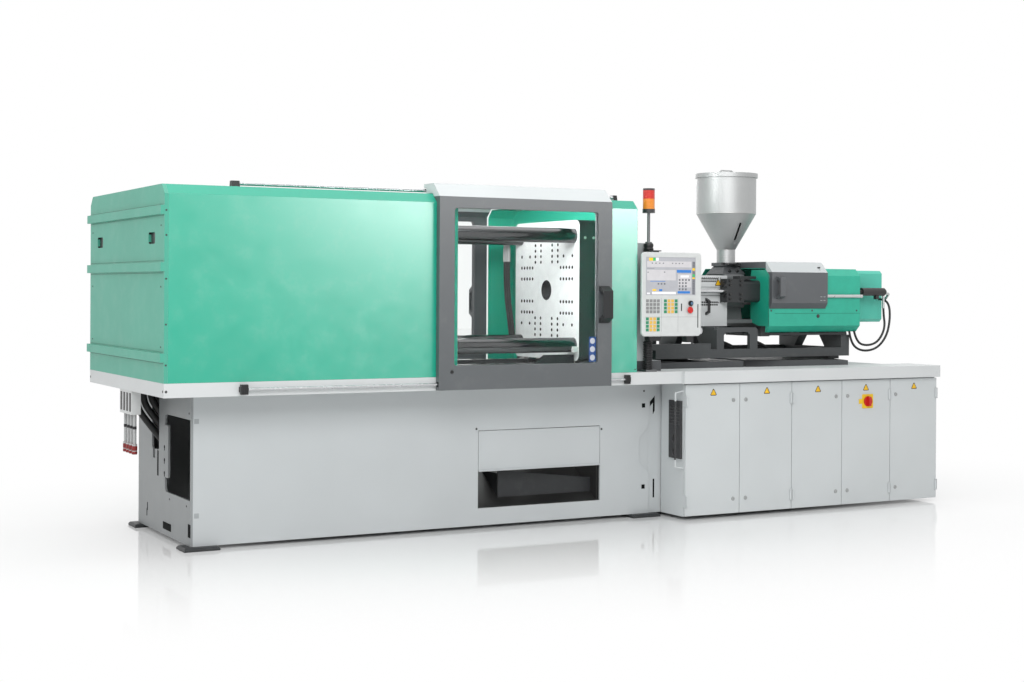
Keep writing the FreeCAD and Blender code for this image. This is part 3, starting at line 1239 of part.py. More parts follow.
def make_injection_cover():
    """Long housing, chamfered on its four long edges, open at the left, with the hood's rail on its front."""
    c = UNIT_CHAMFER
    h = UNIT_HALF
    outer = [(-h + c, UNIT_LOW), (-h, UNIT_LOW + c), (-h, UNIT_TOP - c), (-h + c, UNIT_TOP),
             (h - c, UNIT_TOP), (h, UNIT_TOP - c), (h, UNIT_LOW + c), (h - c, UNIT_LOW)]
    k = SKIN
    j = c + k * 0.41
    hi = h - k
    low = UNIT_LOW + k
    top = UNIT_TOP - k
    inner = [(-hi + j - k, low), (-hi, UNIT_LOW + j), (-hi, UNIT_TOP - j), (-hi + j - k, top),
             (hi - j + k, top), (hi, UNIT_TOP - j), (hi, UNIT_LOW + j), (hi - j + k, low)]
    shell = outline_x(outer, UNIT_LEFT, UNIT_RIGHT)
    cavity = outline_x(inner, UNIT_LEFT - 1, UNIT_RIGHT - k)
    floor_gap = box(UNIT_LEFT - 1, UNIT_RIGHT + 1, -BEAM_HALF - SLIDE_GAP, BEAM_HALF + SLIDE_GAP,
                    UNIT_LOW - 1, PORTAL_TOP + SLIDE_GAP)
    shell = cut(shell, [cavity, floor_gap])
    rail = bar_x(HOOD_RAIL_LEFT, HOOD_RAIL_RIGHT, -HOOD_RAIL_Y, HOOD_RAIL_Z, HOOD_RAIL_R)
    blocks = []
    for x in (HOOD_RAIL_LEFT, UNIT_RIGHT - HOOD_BLOCK_L):
        blocks.append(box(x, x + HOOD_BLOCK_L, -HOOD_RAIL_Y, -h, HOOD_RAIL_Z - 9, HOOD_RAIL_Z + 9))
    return join([shell, rail] + blocks)


def make_service_hood():
    """Sliding hood: flat face with sloped edges, a flat that rests on top, end flanges, and its handle."""
    out = -HOOD_OUT
    t = SKIN
    back = -UNIT_HALF - 2 * BODY_GAP
    roof = UNIT_TOP + BODY_GAP
    outer = [(out + 24, HOOD_LOW), (out, HOOD_FACE_LOW), (out, HOOD_FACE_TOP), (out + HOOD_SLOPE, HOOD_TOP),
             (HOOD_REACH, HOOD_TOP), (HOOD_REACH, roof), (-UNIT_HALF + UNIT_CHAMFER, roof),
             (back, UNIT_TOP - UNIT_CHAMFER), (back, HOOD_LOW)]
    inner = [(out + 24 + t / 2, HOOD_LOW - 1), (out + 24 + t / 2, HOOD_LOW + t), (out + t, HOOD_FACE_LOW),
             (out + t, HOOD_FACE_TOP - t / 2), (out + HOOD_SLOPE + t / 2, HOOD_TOP - t),
             (HOOD_REACH - t, HOOD_TOP - t), (HOOD_REACH - t, roof - 1), (back + 60, roof - 1),
             (back + 1, UNIT_TOP - UNIT_CHAMFER), (back + 1, HOOD_LOW - 1)]
    body = outline_x(outer, HOOD_LEFT, HOOD_RIGHT)
    hollow = outline_x(inner, HOOD_LEFT + t, HOOD_RIGHT - t)
    rail = bar_x(HOOD_RIGHT - t - 1, HOOD_RIGHT + 1, -HOOD_RAIL_Y, HOOD_RAIL_Z, HOOD_RAIL_R + 1)
    shell = cut(body, [hollow, rail])
    low = HOOD_GRIP_LOW
    top = HOOD_GRIP_TOP
    far = out - 44
    points = [(out + 1, low), (out + 1, low + 20), (far + 10, low + 34), (far + 10, top - 34),
              (out + 1, top - 20),
              (out + 1, top), (far + 6, top - 12), (far, top - 20), (far, low + 20), (far + 6, low + 12)]
    grip = outline_x(points, HOOD_GRIP_X - 22, HOOD_GRIP_X + 22)
    return join([shell, grip])


def make_rear_drive_cover():
    shell = box(UNIT_RIGHT, DRIVE_RIGHT, -DRIVE_HALF, DRIVE_HALF, DRIVE_LOW, DRIVE_TOP)
    shell = shell.makeChamfer(DRIVE_CHAMFER, [e for e in shell.Edges if is_long_edge(e)])
    k = SKIN
    inside = box(UNIT_RIGHT - 1, DRIVE_RIGHT - k, -DRIVE_HALF + k, DRIVE_HALF - k, DRIVE_LOW + DRIVE_CHAMFER,
                 DRIVE_TOP - DRIVE_CHAMFER)
    return cut(shell, [inside])


def is_long_edge(edge):
    return abs(edge.tangentAt(edge.FirstParameter).x) > 0.999


def make_rear_cylinder():
    """Small hydraulic cylinder beside the rear cover, with its bracket, end cap and hose elbow."""
    x1 = SMALL_CYLINDER_RIGHT
    tube = bar_x(SMALL_CYLINDER_LEFT, x1 - 14, -PIPE_Y, AXIS_Z, SMALL_CYLINDER_R)
    cap = Part.makeCone(SMALL_CYLINDER_R, SMALL_CYLINDER_R - 10, 14, V(x1 - 14, -PIPE_Y, AXIS_Z), V(1, 0, 0))
    stub = bar_x(UNIT_RIGHT, SMALL_CYLINDER_LEFT, -PIPE_Y, AXIS_Z, 14)
    bracket = box(SMALL_CYLINDER_LEFT + 70, SMALL_CYLINDER_LEFT + 110, -PIPE_Y, -DRIVE_HALF,
                  AXIS_Z - 20, AXIS_Z + 20)
    elbow = box(x1 - 90, x1 - 64, -PIPE_Y - 12, -PIPE_Y + 12, AXIS_Z - 50, AXIS_Z - 20)
    return join([tube, cap, stub, bracket, elbow])


def make_hydraulic_hoses():
    """Two hoses that droop in a bow between the drive and the foot of the cover."""
    lane = -BEAM_HALF - 15
    x = SMALL_CYLINDER_RIGHT - 15
    low_end = UNIT_LOW + 8
    under = AXIS_Z - 50
    bow_a = [(x, -PIPE_Y, under), (x, -PIPE_Y, under - 90), (x + 6, lane, under - 192),
             (x - 54, lane, under - 287), (x - 149, lane, under - 314), (x - 244, lane, under - 292),
             (x - 268, lane, low_end)]
    x = DRIVE_RIGHT - 23
    bow_b = [(x, -DRIVE_HALF, under), (x, -DRIVE_HALF - 60, under), (x, lane + 8, under - 47),
             (x - 5, lane, under - 152), (x - 35, lane, under - 252), (x - 110, lane, under - 327),
             (x - 210, lane, under - 350), (x - 300, lane, under - 332), (x - 350, lane, under - 272),
             (x - 360, lane, low_end)]
    return group([hose(bow_a, HOSE_R), hose(bow_b, HOSE_R)])


# Cabinet and controls --------------------------------------------------------------------------------------

def door_left(i):
    return CABINET_LEFT + DOOR_GAP / 2 + i * DOOR_PITCH


def hinge_on_left(i):
    """The doors open in pairs from the middle gap, apart from the last one."""
    return i in (0, 2)


def hinge_x(i):
    width = DOOR_PITCH - DOOR_GAP
    return door_left(i) + HINGE_IN if hinge_on_left(i) else door_left(i) + width - HINGE_IN


def make_door(i):
    """Cabinet door with folded edges and its hinge knuckles."""
    x0 = door_left(i)
    x1 = x0 + DOOR_PITCH - DOOR_GAP
    back = -DOOR_FACE + DOOR_T
    door = box(x0, x1, -DOOR_FACE, back, DOOR_LOW, DOOR_TOP)
    recess = box(x0 + 30, x1 - 30, -DOOR_FACE + SKIN, back + 1, DOOR_LOW + 30, DOOR_TOP - 30)
    axis = hinge_x(i)
    y = -DOOR_FACE - HINGE_OUT
    pieces = [cut(door, [recess])]
    bores = []
    for z in (HINGE_DOWN, HINGE_HIGH):
        r = HINGE_R
        k = r * 0.41
        knuckle = [(axis - r, k), (axis - k, r), (axis + k, r), (axis + r, k), (axis + r, -k),
                   (axis + k, -r - 1),
                   (axis - k, -r - 1), (axis - r, -k)]
        corners = [V(x, y - d, z - HINGE_L / 2) for x, d in knuckle]
        pieces.append(Part.Face(Part.makePolygon(corners + corners[:1])).extrude(V(0, 0, HINGE_L)))
        bores.append(bar_z(z - HINGE_L, z + HINGE_L, axis, y, HINGE_PIN_R + RUN_FIT))
    return cut(join(pieces), bores)


def make_electrical_cabinet():
    """Row of bays with partitions, the hinge pins of its doors, and the sockets with their wire guard."""
    front = -DOOR_FACE + DOOR_T + DOOR_BACK_GAP
    right = CABINET_LEFT + DOOR_COUNT * DOOR_PITCH
    shell = box(CABINET_LEFT, right, front, -CABINET_BACK, CABINET_LOW, CABINET_TOP)
    bays = []
    for i in range(DOOR_COUNT):
        x0 = CABINET_LEFT + i * DOOR_PITCH + CABINET_WALL
        bays.append(box(x0, x0 + DOOR_PITCH - 2 * CABINET_WALL, front - 1, -CABINET_BACK - CABINET_WALL,
                        CABINET_LOW + CABINET_WALL, CABINET_TOP - CABINET_WALL))
    pieces = [cut(shell, bays)]
    for i in range(DOOR_COUNT):
        for z in (HINGE_DOWN, HINGE_HIGH):
            pieces.append(make_hinge(i, z, front))
    pieces.append(make_sockets())
    return join(pieces)


def make_hinge(i, z, front):
    """Hinge pin with a head at each end, on a leaf that passes through the gap beside the door."""
    axis = hinge_x(i)
    y = -DOOR_FACE - HINGE_OUT
    side = -1 if hinge_on_left(i) else 1
    top = z + HINGE_L / 2 + BODY_GAP
    low = z - HINGE_L / 2 - BODY_GAP
    head = 4.0
    pieces = [bar_z(low - head, top + head, axis, y, HINGE_PIN_R)]
    leaf_in = axis + side * (HINGE_IN + 0.6)
    leaf_out = leaf_in + side * HINGE_LEAF
    x0 = min(leaf_in, leaf_out)
    x1 = max(leaf_in, leaf_out)
    pieces.append(box(x0, x1, y - 3, front + 1, low - head, top + head))
    reach = HINGE_PIN_R + 1
    for z0 in (low - head, top):
        pieces.append(box(min(axis - reach, x0), max(axis + reach, x1), y - reach, y + reach, z0, z0 + head))
    return join(pieces)


def make_sockets():
    """Socket plate with louvres on the end of the cabinet, beside a guard bent from square bar."""
    x = CABINET_LEFT
    middle = (SOCKET_LOW + SOCKET_TOP) / 2
    plate = box(x - SOCKET_H, x, -SOCKET_FRONT, -SOCKET_REAR, SOCKET_LOW, SOCKET_TOP)
    slots = []
    for i in range(6):
        z = middle + 30 + i * 20
        slots.append(box(x - SOCKET_H - 1, x - SOCKET_H + 5, -SOCKET_FRONT + 12, -SOCKET_REAR - 12,
                         z, z + 10))
    cups = []
    for i in range(2):
        z = SOCKET_LOW + 40 + i * 80
        cups.append(bar_x(x - SOCKET_H - 1, x - SOCKET_H + 8, -(SOCKET_FRONT + SOCKET_REAR) / 2, z, 24))
    body = cut(plate, slots + cups)
    out = x - GUARD_WIRE_OUT
    y = -SOCKET_FRONT - 9
    r = GUARD_WIRE_R
    low = GUARD_WIRE_LOW
    top = GUARD_WIRE_TOP
    points = [(x, low), (out, low + 14), (out, top - 14), (x, top), (x, top - 2 * r),
              (out + 2 * r, top - 14 - r),
              (out + 2 * r, low + 14 + r), (x, low + 2 * r)]
    return join([body, outline_y(points, y - r, y + r)])


def make_cabinet_top():
    right = CABINET_LEFT + DOOR_COUNT * DOOR_PITCH
    slab = box(TRAY_RIGHT, right, -SLAB_FRONT, -INJ_FRONT, CABINET_TOP, SLAB_TOP)
    inner = box(TRAY_RIGHT + TRAY_SHEET, right - TRAY_SHEET,
                -SLAB_FRONT + TRAY_SHEET, -INJ_FRONT - TRAY_SHEET,
                CABINET_TOP + TRAY_SHEET, SLAB_TOP - TRAY_SHEET)
    return cut(slab, [inner])


def make_main_switch_plate():
    y = -DOOR_FACE
    plate = rounded_y(SWITCH_X - SWITCH_PLATE / 2, SWITCH_X + SWITCH_PLATE / 2, y - SWITCH_PLATE_T, y,
                      SWITCH_Z - SWITCH_PLATE / 2, SWITCH_Z + SWITCH_PLATE / 2, 8)
    tab = box(SWITCH_X - SWITCH_PLATE / 2 - 26, SWITCH_X - SWITCH_PLATE / 2, y - SWITCH_PLATE_T, y,
              SWITCH_Z - 15, SWITCH_Z + 15)
    return join([plate, tab])


def make_main_switch_knob():
    y = -DOOR_FACE - SWITCH_PLATE_T - BODY_GAP
    disc = bar_y(y - 8, y, SWITCH_X, SWITCH_Z, SWITCH_R)
    grip = box(SWITCH_X - 9, SWITCH_X + 9, y - SWITCH_H, y - 7,
               SWITCH_Z - SWITCH_R + 3, SWITCH_Z + SWITCH_R - 3)
    return join([disc, grip])


def make_panel_post():
    """Post with its foot, the collar and boss that hold the panel's arm, and the lamp's stem."""
    half = POST_FOOT / 2
    foot = box(POST_X - half, POST_X + half, POST_Y - half, POST_Y + half, TRAY_TOP, TRAY_TOP + POST_FOOT_T)
    tube = bar_z(TRAY_TOP, POST_TOP + 1, POST_X, POST_Y, POST_R)
    collar = bar_z(POST_TOP - ARM_T - 14, POST_TOP - ARM_T - BODY_GAP, POST_X, POST_Y, POST_R + 6)
    boss = bar_z(POST_TOP + BODY_GAP, BOSS_TOP, POST_X, POST_Y, BOSS_R)
    stem = bar_z(BOSS_TOP - 1, LAMP_LOW, POST_X, POST_Y, STEM_R)
    return join([foot, tube, collar, boss, stem])


def make_signal_lamp():
    """Lamp with its stacked lenses on a base that stands a little proud."""
    base = bar_z(LAMP_LOW, LAMP_BASE, POST_X, POST_Y, LAMP_R)
    lenses = bar_z(LAMP_BASE, LAMP_TOP, POST_X, POST_Y, LAMP_R - LAMP_GROOVE)
    return join([base, lenses])


def make_cable_column():
    """Square cable duct with rounded corners on a low foot."""
    duct = rounded_z(DUCT_X - DUCT_HALF, DUCT_X + DUCT_HALF, DUCT_Y - DUCT_HALF, DUCT_Y + DUCT_HALF,
                     DUCT_LOW, DUCT_TOP, 10)
    foot = box(DUCT_X - DUCT_HALF + 30, DUCT_FOOT_RIGHT, DUCT_Y - DUCT_HALF, DUCT_Y + DUCT_HALF,
               TRAY_TOP, DUCT_LOW)
    return join([duct, foot])


def make_control_panel():
    """Shallow front shell with a recess for the screen, rear box, two blocks under it, and its arm."""
    back = PANEL_FRONT + PANEL_T
    shell_back = PANEL_FRONT + PANEL_RIM
    inset = PANEL_BACK_IN
    body = rounded_y(PANEL_LEFT, PANEL_RIGHT, PANEL_FRONT, shell_back, PANEL_LOW, PANEL_TOP, PANEL_R)
    rim = [e for e in body.Edges if abs(e.CenterOfMass.y - PANEL_FRONT) < 0.01]
    body = body.makeChamfer(4, rim)
    rear = box(PANEL_LEFT + inset, PANEL_RIGHT - inset, shell_back - 1, back,
               PANEL_LOW + inset, PANEL_TOP - inset)
    body = join([body, rear])
    recess = box(SCREEN_LEFT, SCREEN_RIGHT, PANEL_FRONT - 1, PANEL_FRONT + SCREEN_IN + PANE_T,
                 SCREEN_LOW, SCREEN_TOP)
    groove = box(PANEL_RIGHT - 28, PANEL_RIGHT - 22, PANEL_FRONT - 1, PANEL_FRONT + 3, PANEL_LOW + 50,
                 PANEL_LOW + 190)
    half = STOP_STEM / 2 + BODY_GAP
    stop_hole = box(STOP_X - half, STOP_X + half, PANEL_FRONT - 1, PANEL_FRONT + 30,
                    STOP_Z - half, STOP_Z + half)
    body = cut(body, [recess, groove, stop_hole])
    plate = box(ARM_LEFT, ARM_END, PANEL_FRONT + 10, POST_Y - POST_R + 1, POST_TOP - ARM_T, POST_TOP)
    eye = bar_z(POST_TOP - ARM_T, POST_TOP, POST_X, POST_Y, POST_R + ARM_RIM)
    web = box(ARM_LEFT + 10, ARM_END - 10, PANEL_FRONT + 20, PANEL_FRONT + 34, PANEL_TOP - inset - 4,
              POST_TOP - 1)
    clip_z = PANEL_LOW + 70
    clip = bar_z(clip_z, clip_z + 30, POST_X, POST_Y, POST_R + ARM_RIM)
    pad = box(POST_X - 20, POST_X + 20, back - 1, POST_Y, clip_z, clip_z + 30)
    tools = [bar_z(clip_z - 1, POST_TOP + 1, POST_X, POST_Y, POST_R + RUN_FIT)]
    arm = cut(join([plate, eye, web, clip, pad]), tools)
    pieces = [body, arm]
    for x0, x1, drop in ((PANEL_LEFT + 58, PANEL_LEFT + 143, 28), (PANEL_RIGHT - 100, PANEL_RIGHT - 45, 38)):
        block = [(x0, PANEL_LOW + inset + 1), (x0, PANEL_LOW), (x0 + 8, PANEL_LOW - drop),
                 (x1 - 8, PANEL_LOW - drop), (x1, PANEL_LOW), (x1, PANEL_LOW + inset + 1)]
        pieces.append(outline_y(block, PANEL_FRONT + 12, back - 6))
    return join(pieces)


def make_control_screen():
    y = PANEL_FRONT + SCREEN_IN
    return box(SCREEN_LEFT, SCREEN_RIGHT, y, y + PANE_T, SCREEN_LOW, SCREEN_TOP)


def make_control_keys():
    """Three fields of flat keys, four by four."""
    pieces = []
    y = PANEL_FRONT
    top = SCREEN_LOW - 25
    for fx, fz in ((KEY_LEFT, top), (KEY_LEFT + 4.96 * KEY_PITCH, top), (KEY_LEFT, top - 4.95 * KEY_RISE)):
        for i in range(4):
            for k in range(4):
                x = fx + i * KEY_PITCH
                z = fz - k * KEY_RISE
                pieces.append(box(x, x + KEY_SIZE, y - KEY_T, y, z - KEY_H, z))
    return group(pieces)


def make_emergency_stop():
    """Mushroom button on a square stem that slides in the panel."""
    y = PANEL_FRONT
    half = STOP_STEM / 2
    stem = box(STOP_X - half, STOP_X + half, y - STOP_TRAVEL - 3, y + 20, STOP_Z - half, STOP_Z + half)
    head = bar_y(y - STOP_H + 2, y - STOP_TRAVEL - 2, STOP_X, STOP_Z, STOP_R)
    return join([stem, head])


def make_mode_switch():
    y = PANEL_FRONT
    ring = bar_y(y - 10, y - BODY_GAP, MODE_X, MODE_Z, MODE_R)
    lever = box(MODE_X - 3, MODE_X + 3, y - 17, y - 9, MODE_Z - MODE_R + 2, MODE_Z + MODE_R - 2)
    return join([ring, lever])


# The whole machine -----------------------------------------------------------------------------------------

nodes["machine_base"] = make_machine_base()
nodes["levelling_feet"] = make_levelling_feet()
nodes["clamp_tray"] = make_clamp_tray()
nodes["parts_chute"] = make_parts_chute()
nodes["chute_flap"] = make_chute_flap()
nodes["clamp_cover"] = make_clamp_cover()
nodes["clamp_end_panel"] = make_clamp_end_panel()
nodes["nozzle_side_cover"] = make_nozzle_side_cover()
nodes["front_guard"] = make_front_guard()
nodes["front_guard_window"] = make_guard_window()
nodes["front_guard_handle"] = make_guard_handle()
nodes["rear_guard"] = to_rear(join([nodes["front_guard"], nodes["front_guard_handle"]]))
nodes["rear_guard_window"] = to_rear(nodes["front_guard_window"])
nodes["guard_rails"] = make_guard_rails()
nodes["fixed_platen"] = make_fixed_platen()
nodes["moving_platen"] = make_moving_platen()
nodes["cylinder_platen"] = make_cylinder_platen()
nodes["clamp_piston"] = make_clamp_piston()
nodes["tie_bars"] = make_tie_bars()
nodes["platen_slideways"] = make_platen_slideways()
nodes["ejector"] = make_ejector()
nodes["flow_meters"] = make_flow_meters()
nodes["clamp_hoses"] = make_clamp_hoses()
nodes["injection_base"] = make_injection_base()
nodes["swivel_base"] = make_swivel_base()
nodes["injection_bed"] = make_injection_bed()
nodes["guide_columns"] = make_guide_columns()
nodes["injection_carriage"] = make_injection_carriage()
nodes["approach_cylinders"] = make_approach_cylinders()
nodes["barrel"] = make_barrel()
nodes["heater_bands"] = make_heater_bands()
nodes["screw"] = make_screw()
nodes["screw_drive"] = make_screw_drive()
nodes["barrel_guard"] = make_barrel_guard()
nodes["feed_throat"] = make_feed_throat()
nodes["hopper_gate"] = make_hopper_gate()
nodes["hopper"] = make_hopper()
nodes["hopper_lid"] = make_hopper_lid()
nodes["injection_cover"] = make_injection_cover()
nodes["service_hood"] = make_service_hood()
nodes["rear_drive_cover"] = make_rear_drive_cover()
nodes["rear_cylinder"] = make_rear_cylinder()
nodes["hydraulic_hoses"] = make_hydraulic_hoses()
nodes["electrical_cabinet"] = make_electrical_cabinet()
nodes["cabinet_top"] = make_cabinet_top()
for number in range(DOOR_COUNT):
    nodes["cabinet_door_" + str(number + 1)] = make_door(number)
nodes["main_switch_plate"] = make_main_switch_plate()
nodes["main_switch_knob"] = make_main_switch_knob()
nodes["panel_post"] = make_panel_post()
nodes["signal_lamp"] = make_signal_lamp()
nodes["cable_column"] = make_cable_column()
nodes["control_panel"] = make_control_panel()
nodes["control_screen"] = make_control_screen()
nodes["control_keys"] = make_control_keys()
nodes["emergency_stop"] = make_emergency_stop()
nodes["mode_switch"] = make_mode_switch()

# The origin is the middle of the whole machine's outline on the floor
whole = FreeCAD.BoundBox()
for shape in nodes.values():
    whole.add(shape.BoundBox)
SHIFT = V(-(whole.XMin + whole.XMax) / 2, -(whole.YMin + whole.YMax) / 2, 0)

os.makedirs("parts", exist_ok=True)
for name, shape in nodes.items():
    shape.translate(SHIFT)
    shape.exportStep("parts/" + name + ".step")
print("travels:", CLAMP_STROKE, EJECTOR_STROKE, APPROACH, INJECTION_STROKE, GATE_STROKE, SHIELD_TRAVEL,
      HOOD_TRAVEL)
print(len(nodes), "sub-parts, origin moved by", [round(c, 2) for c in SHIFT], "size",
      [round(c) for c in (whole.XLength, whole.YLength, whole.ZLength)])
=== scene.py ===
import math

import bmesh
import bpy
from mathutils import Matrix, Vector


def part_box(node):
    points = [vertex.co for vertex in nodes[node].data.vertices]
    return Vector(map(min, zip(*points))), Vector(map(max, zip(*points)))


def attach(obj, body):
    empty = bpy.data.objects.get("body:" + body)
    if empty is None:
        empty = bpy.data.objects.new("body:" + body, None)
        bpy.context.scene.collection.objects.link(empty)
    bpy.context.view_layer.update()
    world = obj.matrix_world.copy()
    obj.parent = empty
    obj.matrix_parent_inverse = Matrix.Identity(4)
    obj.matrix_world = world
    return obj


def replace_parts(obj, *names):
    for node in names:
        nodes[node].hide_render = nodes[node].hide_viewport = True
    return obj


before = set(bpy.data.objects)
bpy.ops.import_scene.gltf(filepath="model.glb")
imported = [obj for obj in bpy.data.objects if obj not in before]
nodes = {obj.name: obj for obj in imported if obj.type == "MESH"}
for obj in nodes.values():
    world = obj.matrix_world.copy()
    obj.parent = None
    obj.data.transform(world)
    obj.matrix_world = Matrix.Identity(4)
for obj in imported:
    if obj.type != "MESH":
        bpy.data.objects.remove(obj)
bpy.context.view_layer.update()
scene = bpy.context.scene

# Studio. The part stands on a pale, slightly glossy floor in a room without walls, seen from the operator's
# side and a little from the clamp end, at standing height. Places below are measured from the mould face of
# the fixed platen (x = 0), the machine axis (y = 0) and the floor (z = 0).
mould_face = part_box("fixed_platen")[0][0]


def place(x, y, z):
    """A point measured in millimetres from the mould face, the axis and the floor."""
    return Vector((mould_face + x / 1000, y / 1000, z / 1000))


picture_width, picture_height = 1024, 682
focal_length, horizon_row = 1579.15, 294.19
stand = (-4894.48, -8540.75, 1380)
turn = math.radians(28.577)
tilt = math.radians(-0.2)
roll = math.radians(0.323)
ahead = Vector((math.sin(turn) * math.cos(tilt), math.cos(turn) * math.cos(tilt), math.sin(tilt)))
right = Vector((math.cos(turn), -math.sin(turn), 0))
above = Vector((-math.sin(turn) * math.sin(tilt), -math.cos(turn) * math.sin(tilt), math.cos(tilt)))
lens = bpy.data.cameras.new("studio_camera")
lens.sensor_width = 36
lens.lens = focal_length / picture_width * 36
lens.shift_y = -(picture_height / 2 - horizon_row) / picture_width
lens.clip_end = 100
camera = bpy.data.objects.new("studio_camera", lens)
scene.collection.objects.link(camera)
side = right * math.cos(roll) + above * math.sin(roll)
top = above * math.cos(roll) - right * math.sin(roll)
pose = Matrix((side, top, -ahead)).transposed().to_4x4()
pose.translation = place(*stand)
camera.matrix_world = pose
scene.camera = camera
scene.view_settings.view_transform = "Standard"


def lamp(name, at, towards, width, height, watts, spreads=True, only=()):
    """A flat lamp that the camera doesn't see. It can be left to shine in the gloss of a few nodes only."""
    light = bpy.data.lights.new(name, "AREA")
    light.shape = "RECTANGLE"
    light.size = width
    light.size_y = height
    light.energy = watts
    body = bpy.data.objects.new(name, light)
    body.location = at
    body.rotation_euler = (Vector(towards) - Vector(at)).to_track_quat("-Z", "Y").to_euler()
    body.visible_camera = False
    body.visible_diffuse = spreads
    scene.collection.objects.link(body)
    if only:
        lit_nodes = bpy.data.collections.new(name + "_reach")
        for node in only:
            lit_nodes.objects.link(nodes[node])
        body.light_linking.receiver_collection = lit_nodes


# Soft boxes: a wide one from the operator's side, one at the clamp end, a small one on the mould face, two long
# ones that only show as a pale shine high on the covers and the guard, one above and one behind
lamp("wide_lamp", (-3.5, -8.0, 5.5), (0, 0, 1.0), 7, 4, 440)
lamp("end_lamp", (-9.0, -1.5, 4.2), (-1.5, 0, 1.6), 4, 3, 90)
lamp("mould_lamp", (mould_face - 0.9, -0.5, 1.85), (mould_face, 0, 1.4), 0.5, 0.25, 16)
shine_at = (0.9, -0.8, 1.9)
lamp("cover_lamp", (2.7, -4.7, 2.9), shine_at, 5.0, 1.4, 1150, False, ("clamp_cover", "nozzle_side_cover"))
lamp("guard_lamp", (1.9, -4.7, 2.95), shine_at, 5.5, 1.4, 210, False, ("front_guard", "service_hood"))
lamp("top_lamp", (0, 0, 7.5), (0, 0, 0), 8, 5, 190)
lamp("back_lamp", (4.0, 7.5, 4.0), (0, 0, 1.0), 6, 3, 160)


def node(tree, kind, inputs=(), **settings):
    """A new node. Each input goes by its label or its place, and takes a fixed value or another node's output."""
    new = tree.nodes.new("ShaderNode" + kind)
    for label, value in settings.items():
        setattr(new, label, value)
    for label, value in dict(inputs).items():
        if isinstance(value, bpy.types.NodeSocket):
            tree.links.new(value, new.inputs[label])
        else:
            new.inputs[label].default_value = value
    return new


def number(tree, operation, first, second, clamp=False):
    """One step of arithmetic in a node tree. Each side is a socket or a number."""
    return node(tree, "Math", {0: first, 1: second}, operation=operation, use_clamp=clamp).outputs[0]


def blend_by(tree, share, first, second, out):
    """Goes from one shader to another by a share, and on to the output."""
    mixed = node(tree, "MixShader", {0: share, 1: first, 2: second})
    node(tree, out, {"Surface": mixed.outputs[0]})


# The room: even light for the piece, plain white for whatever is seen, mirrored or looked through
world = bpy.data.worlds.new("pale_room")
world.use_nodes = True
scene.world = world
tree = world.node_tree
tree.nodes.clear()
rooms = [node(tree, "Background", {"Color": (1, 1, 1, 1), "Strength": light}).outputs[0] for light in (0.55, 1.0)]
path = node(tree, "LightPath").outputs
seen = number(tree, "MAXIMUM", path["Is Camera Ray"], path["Is Glossy Ray"])
seen = number(tree, "MAXIMUM", seen, path["Is Transmission Ray"])
blend_by(tree, seen, *rooms, "OutputWorld")

# The floor keeps the shadow and a faint mirror image near the machine, and goes over to plain white away from
# it, for the camera alone
floor_mesh = bpy.data.meshes.new("floor")
floor_mesh.from_pydata([(-40, -40, 0), (40, -40, 0), (40, 40, 0), (-40, 40, 0)], [], [(0, 1, 2, 3)])
floor = bpy.data.objects.new("floor", floor_mesh)
scene.collection.objects.link(floor)
paint = bpy.data.materials.new("pale_floor")
paint.use_nodes = True
tree = paint.node_tree
tree.nodes.clear()
matt = node(tree, "BsdfPrincipled", {"Base Color": (0.90, 0.90, 0.90, 1), "Roughness": 0.06,
                                     "Specular IOR Level": 0.5})
white = node(tree, "Emission", {"Color": (1, 1, 1, 1)})
squeezed = node(tree, "VectorMath", {0: node(tree, "TexCoord").outputs["Object"], 1: (0.62, 1.0, 1.0)},
                operation="MULTIPLY")
far = node(tree, "VectorMath", {0: squeezed.outputs[0]}, operation="LENGTH")
grow = node(tree, "MapRange", {"Value": far.outputs["Value"], "From Min": 1.0, "From Max": 3.3},
            interpolation_type="SMOOTHSTEP")
share = number(tree, "MULTIPLY", node(tree, "LightPath").outputs["Is Camera Ray"], grow.outputs["Result"])
blend_by(tree, share, matt.outputs[0], white.outputs[0], "OutputMaterial")
floor_mesh.materials.append(paint)


# Base frame, left end. Welded sheet steel box on levelling feet, powder coated in a pale cool grey, with the
# chute bay in its middle. The first coat of paint in the file, so the paint's own effects are built here.


def socket_group(name, inputs, outputs):
    """A node group with named number sockets for its inputs and outputs."""
    group = bpy.data.node_groups.new(name, "ShaderNodeTree")
    for label, value in inputs:
        socket = group.interface.new_socket(label, in_out="INPUT", socket_type="NodeSocketFloat")
        socket.default_value = value
    for label, kind in outputs:
        group.interface.new_socket(label, in_out="OUTPUT", socket_type=kind)
    return group, group.nodes.new("NodeGroupInput"), group.nodes.new("NodeGroupOutput")


def noise(tree, vector, scale, detail=3.0, rough=0.55):
    """Cloudy noise, of a scale per metre."""
    return node(tree, "TexNoise", {"Vector": vector, "Scale": scale, "Detail": detail,
                                   "Roughness": rough}).outputs["Fac"]


def spread(tree, value, low, high, out_low=0.0, out_high=1.0):
    """Stretches a value between two limits onto two others."""
    return node(tree, "MapRange", {"Value": value, "From Min": low, "From Max": high, "To Min": out_low,
                                   "To Max": out_high}).outputs["Result"]


def own_place(tree):
    """Coordinates fixed to the piece, in metres."""
    return node(tree, "TexCoord").outputs["Object"]


def region(*boxes):
    """Makes a mask that is one inside any of these boxes, with their limits in millimetres as place() has them."""
    def mask(tree):
        at = node(tree, "SeparateXYZ", {0: own_place(tree)}).outputs
        found = 0.0
        for limits in boxes:
            inside = 1.0
            for side, limit in limits.items():
                edge_at = limit / 1000 + (mould_face if side[0] == "x" else 0.0)
                test = "GREATER_THAN" if side[1] == ">" else "LESS_THAN"
                inside = number(tree, "MULTIPLY", inside, number(tree, test, at["xyz".index(side[0])], edge_at))
            found = number(tree, "MAXIMUM", found, inside)
        return found
    return mask


